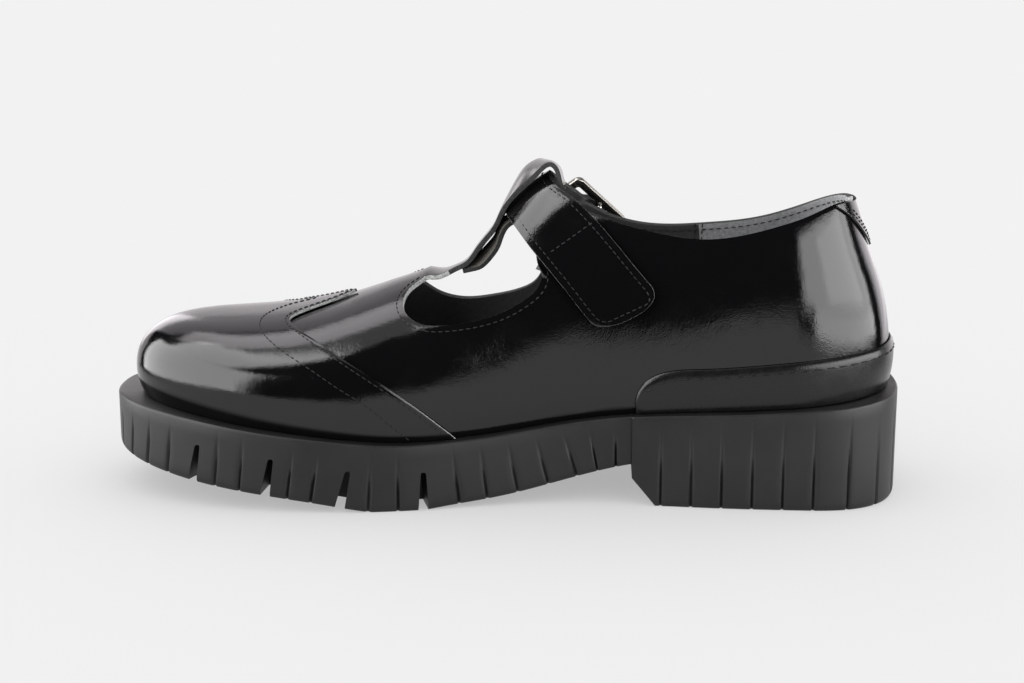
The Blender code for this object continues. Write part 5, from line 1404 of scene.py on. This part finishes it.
def lining_seams():
    """The upright seams of the heel's lining, on both sides."""
    rows = []
    for side in (1, -1):
        for step in LINING_ROWS:
            heights = np.linspace(LINING_FROM, LINING_TO, 30)
            line = on_form([[LINING_SEAM + step, side * LINING_REACH, z] for z in heights])
            normal, _ = form_normal(line)
            rows.append((line - normal * (WALL + THREAD_LIFT), -normal))
    return rows


def make_sock():
    """The sock over the insole: its edges turned up a little, its middle worn smooth."""
    loop = sole_edge_loop()
    at = np.linspace(0, path_length(loop)[-1], 401)[:-1]
    edge = along(loop, at)
    run = unit((np.roll(edge, -1, axis=0) - np.roll(edge, 1, axis=0))[:, :2])
    inward = np.column_stack([run[:, 1], -run[:, 0]])
    flat = edge[:, :2] + inward * (WALL + INSOLE_MARGIN)
    half = len(flat) // 2
    shares = np.linspace(-1, 1, 17)
    near, far = flat[1:half, None], flat[:-half:-1, None]
    plan = (near + far) / 2 + (near - far) / 2 * shares[:, None]
    layers = []
    for level in (0.0, 1.0):
        turned_up = np.abs(shares) ** SOCK_POWER * SOCK_RIM * level
        height = bed_height(plan[..., 0]) + GAP + INSOLE_WALL * level + turned_up
        layers.append(np.dstack([plan, height]))
    points = np.concatenate([layers[0].reshape(-1, 3), layers[1].reshape(-1, 3)])
    sock = faced_out(shell("insole_sock", points, shell_faces(*layers[0].shape[:2]), LINING))
    rounded(sock, 0.7, 3, 60.0)
    worn(settled(sock), "lining_leather", "insole")


# --- strap and buckle ------------------------------------------------------------------------


class StrapLine:
    """Places over the instep, by distance from the ridge, across the strap and off the form."""

    def __init__(self):
        self.angles = np.radians(np.arange(-125.0, 126.0))
        section = self.cast(np.full(len(self.angles), STRAP_ACROSS), self.angles)
        lengths = path_length(section)
        down = -(section[:, 0] + section[:, 2]) * math.sqrt(0.5)
        ridge = np.argmin(down)
        self.distances = lengths - lengths[ridge]
        self.down = down

    def cast(self, across, angles):
        """The form's face in the strap's planes, at angles from its ridge."""
        axis = (np.full_like(across, value) for value in (STRAP_AXIS, STRAP_AXIS_Y))
        start = self.place(across, *axis)
        up = np.cos(angles) * math.sqrt(0.5)
        ray = np.column_stack([up, np.sin(angles), up])
        return farthest_inside(lambda reach: start + ray * reach, len(across), limit=90.0)

    @staticmethod
    def place(across, down, y):
        """Places in millimetres from the strap's own directions."""
        root = math.sqrt(0.5)
        return np.column_stack([-(across + down) * root, y, (across - down) * root])

    def distance_at(self, down, side):
        """How far from the ridge the form's face is at a place down the strap's line."""
        if side > 0:
            chosen = self.distances > 0
            return float(np.interp(down, self.down[chosen], self.distances[chosen]))
        chosen = self.distances < 0
        return float(np.interp(down, self.down[chosen][::-1], self.distances[chosen][::-1]))

    def points(self, across, distance, lift):
        """Places by how far across from the strap's line, along it and off the form they are."""
        given = (np.atleast_1d(np.asarray(value, float)) for value in (across, distance, lift))
        across, distance, lift = np.broadcast_arrays(*given)
        angles = np.interp(distance, self.distances, self.angles)
        faces = self.cast(STRAP_ACROSS + across, angles)
        normal, _ = form_normal(faces)
        return faces + normal * lift[:, None]


def lift_at(rows, distance):
    """How far off the form a table's strip is at a distance from the ridge."""
    return column(rows, "distance", "lift", distance)


def rounded_half(distance, end, half, corner):
    """Half the width of a strip whose end at distance end is rounded."""
    inside = np.clip(abs(end - distance) / corner, 0, 1)
    return half * np.clip(1 - (1 - inside) ** CORNER_IN, 0.0, 1) ** (1 / CORNER_OUT)


class FramePlane:
    """The flat plane of the buckle, touching the side of the foot's curve at its centre."""

    def __init__(self, line):
        reach = BUCKLE_LENGTH / 2
        ends = line.points(0.0, [BUCKLE_AT - reach, BUCKLE_AT + reach], 0.0)
        sides = line.points([-reach, reach], BUCKLE_AT, 0.0)
        self.up = (ends[1] - ends[0]) / np.linalg.norm(ends[1] - ends[0])
        across = sides[1] - sides[0]
        across = across - self.up * (across @ self.up)
        self.across = across / np.linalg.norm(across)
        self.out = np.cross(self.up, self.across)
        self.centre, above = line.points(0.0, BUCKLE_AT, [0.0, 1.0])
        if self.out @ (above - self.centre) < 0:
            self.out = -self.out

    def place(self, up, across, lift):
        """Places in the plane's own directions, from the form under its centre."""
        up, across = np.asarray(up)[:, None], np.asarray(across)[:, None]
        return self.centre + self.up * up + self.across * across + self.out * lift


def rounded_rectangle(half_length, half_width, corner, steps=FRAME_CORNER_STEPS):
    """Points round a rectangle with round corners, by length and width."""
    points = []
    for quarter in range(4):
        start = quarter * PI / 2
        centre_x = (half_length - corner) * (1 if quarter in (0, 3) else -1)
        centre_y = (half_width - corner) * (1 if quarter in (0, 1) else -1)
        for step in range(steps + 1):
            turn = start + step * PI / 2 / steps
            points.append([centre_x + corner * math.cos(turn), centre_y + corner * math.sin(turn)])
    return np.array(points)


def strap_row(distance, ends, shares):
    """Places across the strap's under face, shares from 1 at its rear edge to -1 at its front."""
    front, rear = (column(STRAP_SIDES, "distance", name, distance) for name in ("front", "rear"))
    shares = np.asarray(shares, float)
    across = np.where(shares > 0, shares * rear, shares * front)
    across = across * min(rounded_half(distance, end, 1.0, STRAP_CORNER) for end in ends)
    skew = STRAP_SKEW * np.clip((distance - STRAP_SKEW_FROM) / (ends[0] - STRAP_SKEW_FROM), 0, 1)
    crown = math.exp(-((distance / STRAP_ARCH_REACH) ** 2))
    rise = STRAP_RISE + STRAP_ARCH * (1 - shares**2) + STRAP_LEAN * shares
    return across, distance + skew * across, lift_at(STRAP_LIFT, distance) + crown * rise


def make_strap(line):
    """The cross strap with its rows of thread, its raw edges and its holes."""
    inner_end = line.distance_at(STRAP_INNER_END, 1)
    outer_end = line.distance_at(STRAP_OUTER_END, -1)
    ends = inner_end, outer_end
    turn = STRAP_CORNER * (1 - np.cos(np.linspace(0, PI / 2, 14)[1:-1]))
    body = np.linspace(outer_end + STRAP_CORNER, inner_end - STRAP_CORNER, STRAP_ROWS)
    rows = np.concatenate([outer_end + turn, body, inner_end - turn[::-1]])
    shares = np.linspace(1, -1, STRAP_COLUMNS + 1)
    points = [line.points(*strap_row(distance, ends, shares)) for distance in rows]
    faces = grid_faces(len(rows), STRAP_COLUMNS + 1)
    finishes = LEATHER, LINING, CUT_EDGE, WORN_EDGE_AND_HIGHLIGHT
    strap = shell("cross_strap_leather", np.concatenate(points), faces, *finishes)
    walled(strap, STRAP_WALL, 1, EDGE_ROUNDING, inner=1, rim=2, corner=3)
    holes = [(HOLE_AT, HOLE_HALF_WIDTH, HOLE_HALF_LENGTH)]
    holes += [(BUCKLE_AT - step, SPARE_HOLE, SPARE_HOLE) for step in SPARE_HOLES]
    cutters = []
    for at, wide, long in holes:
        turns = np.linspace(0, 2 * PI, HOLE_SIDES, endpoint=False)
        across, distances = np.cos(turns) * wide, at + np.sin(turns) * long
        rings = [line.points(across, distances, lift) for lift in HOLE_LIFTS]
        faces = ring_faces(2, HOLE_SIDES)
        cutters.append(faced_out(shell("hole", np.vstack(rings), faces)))
    taken_out(strap, *cutters)
    worn(strap, "black_leather", "cross_strap")
    lift = STRAP_WALL + THREAD_LIFT

    def over(distance, shares, inset=0.0):
        """Places on the strap's upper face, drawn in from its edges."""
        across, along_it, rise = strap_row(distance, ends, shares)
        across = np.sign(across) * np.maximum(np.abs(across) - inset, 0.0)
        return line.points(across, along_it, rise + lift)

    span = np.arange(inner_end - STRAP_ROW, outer_end + STRAP_ROW, -1.0)
    edges = np.array([over(distance, [1.0, -1.0], STRAP_ROW) for distance in span])
    loop = np.vstack([edges[::-1, 0], edges[:, 1]])
    lines = [(loop, form_normal(loop)[0])]
    cross = over(STRAP_CROSS_ROW, np.linspace(STRAP_CROSS_FROM, STRAP_CROSS_TO, 24))
    lines.append((cross, form_normal(cross)[0]))
    worn(stitched("strap_thread", lines, STRAP_STITCH), "black_leather")


def make_chape(line):
    """The strip that holds the buckle, turned round its centre bar, with the prong's slot."""
    knots = np.array([[row.distance, row.lift] for row in CHAPE])
    lengths = path_length(knots)
    at = np.linspace(0, lengths[-1], CHAPE_ROWS)
    rows = np.column_stack([spline(lengths, knots[:, i], at) for i in range(2)])
    slot_from, slot_to = lengths[CHAPE_SLOT_ROWS[0]], lengths[CHAPE_SLOT_ROWS[1]]
    end, slot, width = CHAPE[0].distance, CHAPE_SLOT_HALF, 2 * CHAPE_SIDE
    points = []
    for distance, lift in rows:
        half = rounded_half(distance, end - CHAPE_END, CHAPE_HALF, STRAP_CORNER)
        half = max(half, slot + CHAPE_RIM)
        sides = np.linspace(half, slot, CHAPE_SIDE)
        across = np.concatenate([sides, -sides[::-1]])
        points.append(line.points(across, distance, lift))
    faces = []
    for face in grid_faces(len(rows), width):
        row, place = divmod(face[0], width)
        if place != CHAPE_SIDE - 1 or not slot_from <= at[row] < slot_to:
            faces.append(face)
    chape = shell("buckle_chape_leather", np.concatenate(points), faces, LEATHER, LEATHER, CUT_EDGE)
    walled(chape, CHAPE_WALL, 1, 0.25, inner=1, rim=2)
    worn(settled(chape), "black_leather", "buckle_chape")


def make_buckle(line):
    """Frame, centre bar and prong."""
    plane = FramePlane(line)
    length, width = BUCKLE_LENGTH / 2, BUCKLE_HALF_WIDTH
    outer = rounded_rectangle(length, width, FRAME_CORNER)
    inner = rounded_rectangle(length - BUCKLE_BAR, width - BUCKLE_BAR, FRAME_CORNER_INSIDE)
    half = BUCKLE_THICK / 2
    loops = []
    for ring, rise in ((outer, -half), (outer, half), (inner, half), (inner, -half)):
        loops.append(plane.place(ring[:, 0], ring[:, 1], FRAME_LIFT + rise))
    loops = np.array(loops).transpose(1, 0, 2)
    faces = ring_faces(len(loops), 4, closed=True)
    buckle = faced_out(shell("buckle_frame_metal", loops.reshape(-1, 3), faces, METAL))
    rounded(buckle, FRAME_ROUNDING, 4, 40.0)
    worn(settled(buckle, 55.0), "buckle_metal", "buckle_frame")
    reach = BUCKLE_HALF_WIDTH - BUCKLE_BAR - 2 * GAP
    path = line.points(np.linspace(-reach, reach, 12), BUCKLE_AT, PIN_LIFT)
    worn(tube("buckle_bar_metal", path, PIN_RADIUS * 0.98, BRIGHT), "buckle_metal", "buckle_bar")
    at = np.linspace(PRONG[0].distance, PRONG[-1].distance, 30)
    path = line.points(0.0, at, lift_at(PRONG, at))
    worn(tube("buckle_prong_metal", path, PRONG_RADIUS, BRIGHT), "buckle_metal", "buckle_prong")


# --- studio ----------------------------------------------------------------------------------


def softbox(name, size, place, aim, radiance, colour=(1.0, 1.0, 1.0)):
    """A soft rectangular light of a given size, its brightness stated as radiance."""
    data = bpy.data.lights.new(name, "AREA")
    data.shape = "RECTANGLE"
    data.size, data.size_y = size
    data.energy = radiance * PI * size[0] * size[1]
    data.color = colour
    light = placed(name, data)
    light.location = place
    light.rotation_euler = (Vector(aim) - Vector(place)).to_track_quat("-Z", "Y").to_euler()
    light.visible_camera = False
    return light


def bearing(turn, climb, distance=0.9):
    """A place round the shoe by its turn from the camera's side toward the toe and its climb."""
    turn, climb = math.radians(turn), math.radians(climb)
    flat = math.cos(climb) * distance
    return math.sin(turn) * flat, math.cos(turn) * flat, LIT_HEIGHT + math.sin(climb) * distance


def studio():
    """A pale floor under an even sky, and soft boxes that light the shoe alone."""
    corners = [(x * share, y * share, 0.0) for share in (1.0, FLOOR_FADE) for x, y in FLOOR]
    count = len(FLOOR)
    mesh = bpy.data.meshes.new("floor")
    faces = [tuple(range(count))]
    faces += [(k, count + k, count + (k + 1) % count, (k + 1) % count) for k in range(count)]
    mesh.from_pydata(corners, [], faces)
    solid = mesh.attributes.new("solid", "FLOAT", "POINT")
    solid.data.foreach_set("value", [1.0] * count + [0.0] * count)
    floor = placed("floor", mesh)
    share = 1 - FLOOR_GLOW
    glow = {"Emission_Color": (1.0, 1.0, 1.0, 1.0), "Emission_Strength": SKY * FLOOR_GLOW}
    paper = Finish("pale studio floor", (share, share, share), 1.0, Specular_IOR_Level=0.0, **glow)
    paper.into("Alpha", paper.attribute("solid"))
    mesh.materials.append(paper.done())
    unlit = bpy.data.collections.new("lit by the sky alone")
    unlit.objects.link(floor)
    unlit.collection_objects[0].light_linking.link_state = "EXCLUDE"
    middle = (0.0, 0.0, LIT_HEIGHT)
    low = -0.005
    under_heel = (-0.07, -0.296, low)
    tint = (1.0, 0.955, 0.985)
    boxes = [
        softbox("toe side box", (1.52, 0.84), bearing(74, 15), middle, 5.1),
        softbox("toe side box, upper", (0.75, 0.41), bearing(72, 52.5), middle, 5.1),
        softbox("heel side box", (1.59, 0.44), (-0.817, 0.315, 0.28), (-0.037, -0.275, 0.12), 4.7),
        softbox("heel side box, low", (1.41, 0.13), (-0.897, 0.265, low), under_heel, 5.4),
        softbox("heel side box, its middle", (0.76, 0.36), bearing(-66, 13, 0.92), middle, 1.8),
        softbox("high back box", (0.34, 0.54), bearing(127, 61), middle, 2.8, tint),
        softbox("back box", (1.5, 0.5), bearing(180, 37), middle, 0.73, tint),
        softbox("low back box", (2.6, 0.57), bearing(180, 3), middle, 0.9, tint),
        softbox("low back box, toe side", (0.28, 0.4), bearing(147, 9, 0.93), middle, 1.5, tint),
        softbox("low back box, heel side", (0.7, 0.57), bearing(-138, 3, 0.93), middle, 1.0, tint),
        softbox("top box", (0.96, 0.96), bearing(0, 90), middle, 0.8),
    ]
    for box in boxes:
        box.light_linking.receiver_collection = unlit
    world = bpy.data.worlds.new("even sky")
    world.use_nodes = True
    world.node_tree.nodes["Background"].inputs["Color"].default_value = (SKY, SKY, SKY, 1.0)
    world.cycles_visibility.glossy = False
    bpy.context.scene.world = world
    bpy.context.scene.view_settings.view_transform = "Standard"


def camera():
    """The camera on the shoe's inner side, looking a little down and toward its toe."""
    data = bpy.data.cameras.new("camera")
    data.sensor_width = 36.0
    data.lens = CAMERA_LENS
    data.clip_start = 0.01
    made = placed("camera", data)
    made.location = CAMERA_PLACE
    turn, fall = math.radians(CAMERA_TURN), math.radians(CAMERA_FALL)
    level = math.cos(fall)
    ahead = Vector((math.sin(turn) * level, -math.cos(turn) * level, -math.sin(fall)))
    made.rotation_euler = ahead.to_track_quat("-Z", "Y").to_euler()
    bpy.context.scene.camera = made


LEATHER = polished_leather()
BAND_LEATHER = band_leather()
CUT_EDGE = fibre("cut leather edge", (0.006, 0.0065, 0.006), (0.03, 0.031, 0.029), 0.4, 0.75)
# the light edge finish: partly wear of the cut corners, partly a painted highlight where edges
# catch the light
WORN_EDGE_AND_HIGHLIGHT = fibre("worn leather corner, painted highlight", (0.05, 0.051, 0.05), (0.32, 0.33, 0.32), 0.34, 0.6)
FLESH = fibre("leather's flesh side", (0.02, 0.018, 0.015), (0.06, 0.055, 0.047), 0.3, 0.75)
LINING = lining("dark lining leather", (0.01, 0.01, 0.01), (0.026, 0.026, 0.026), 0.1)
HEEL_LINING = lining("grey heel lining", (0.11, 0.112, 0.114), (0.26, 0.265, 0.27), 0.3)
RUBBER = moulded_rubber()
THREAD = thread_finish()
METAL = metal_finish()
BRIGHT = bright_metal()
THREAD_TREE = thread_tree()

make_sole()
upper_grid, bar_first, inner_count = make_upper()
make_upper_thread(upper_grid, bar_first, inner_count)
make_cap()
make_rand()
make_seam_tab()
make_sock()
strap_line = StrapLine()
make_strap(strap_line)
make_chape(strap_line)
make_buckle(strap_line)
studio()
camera()
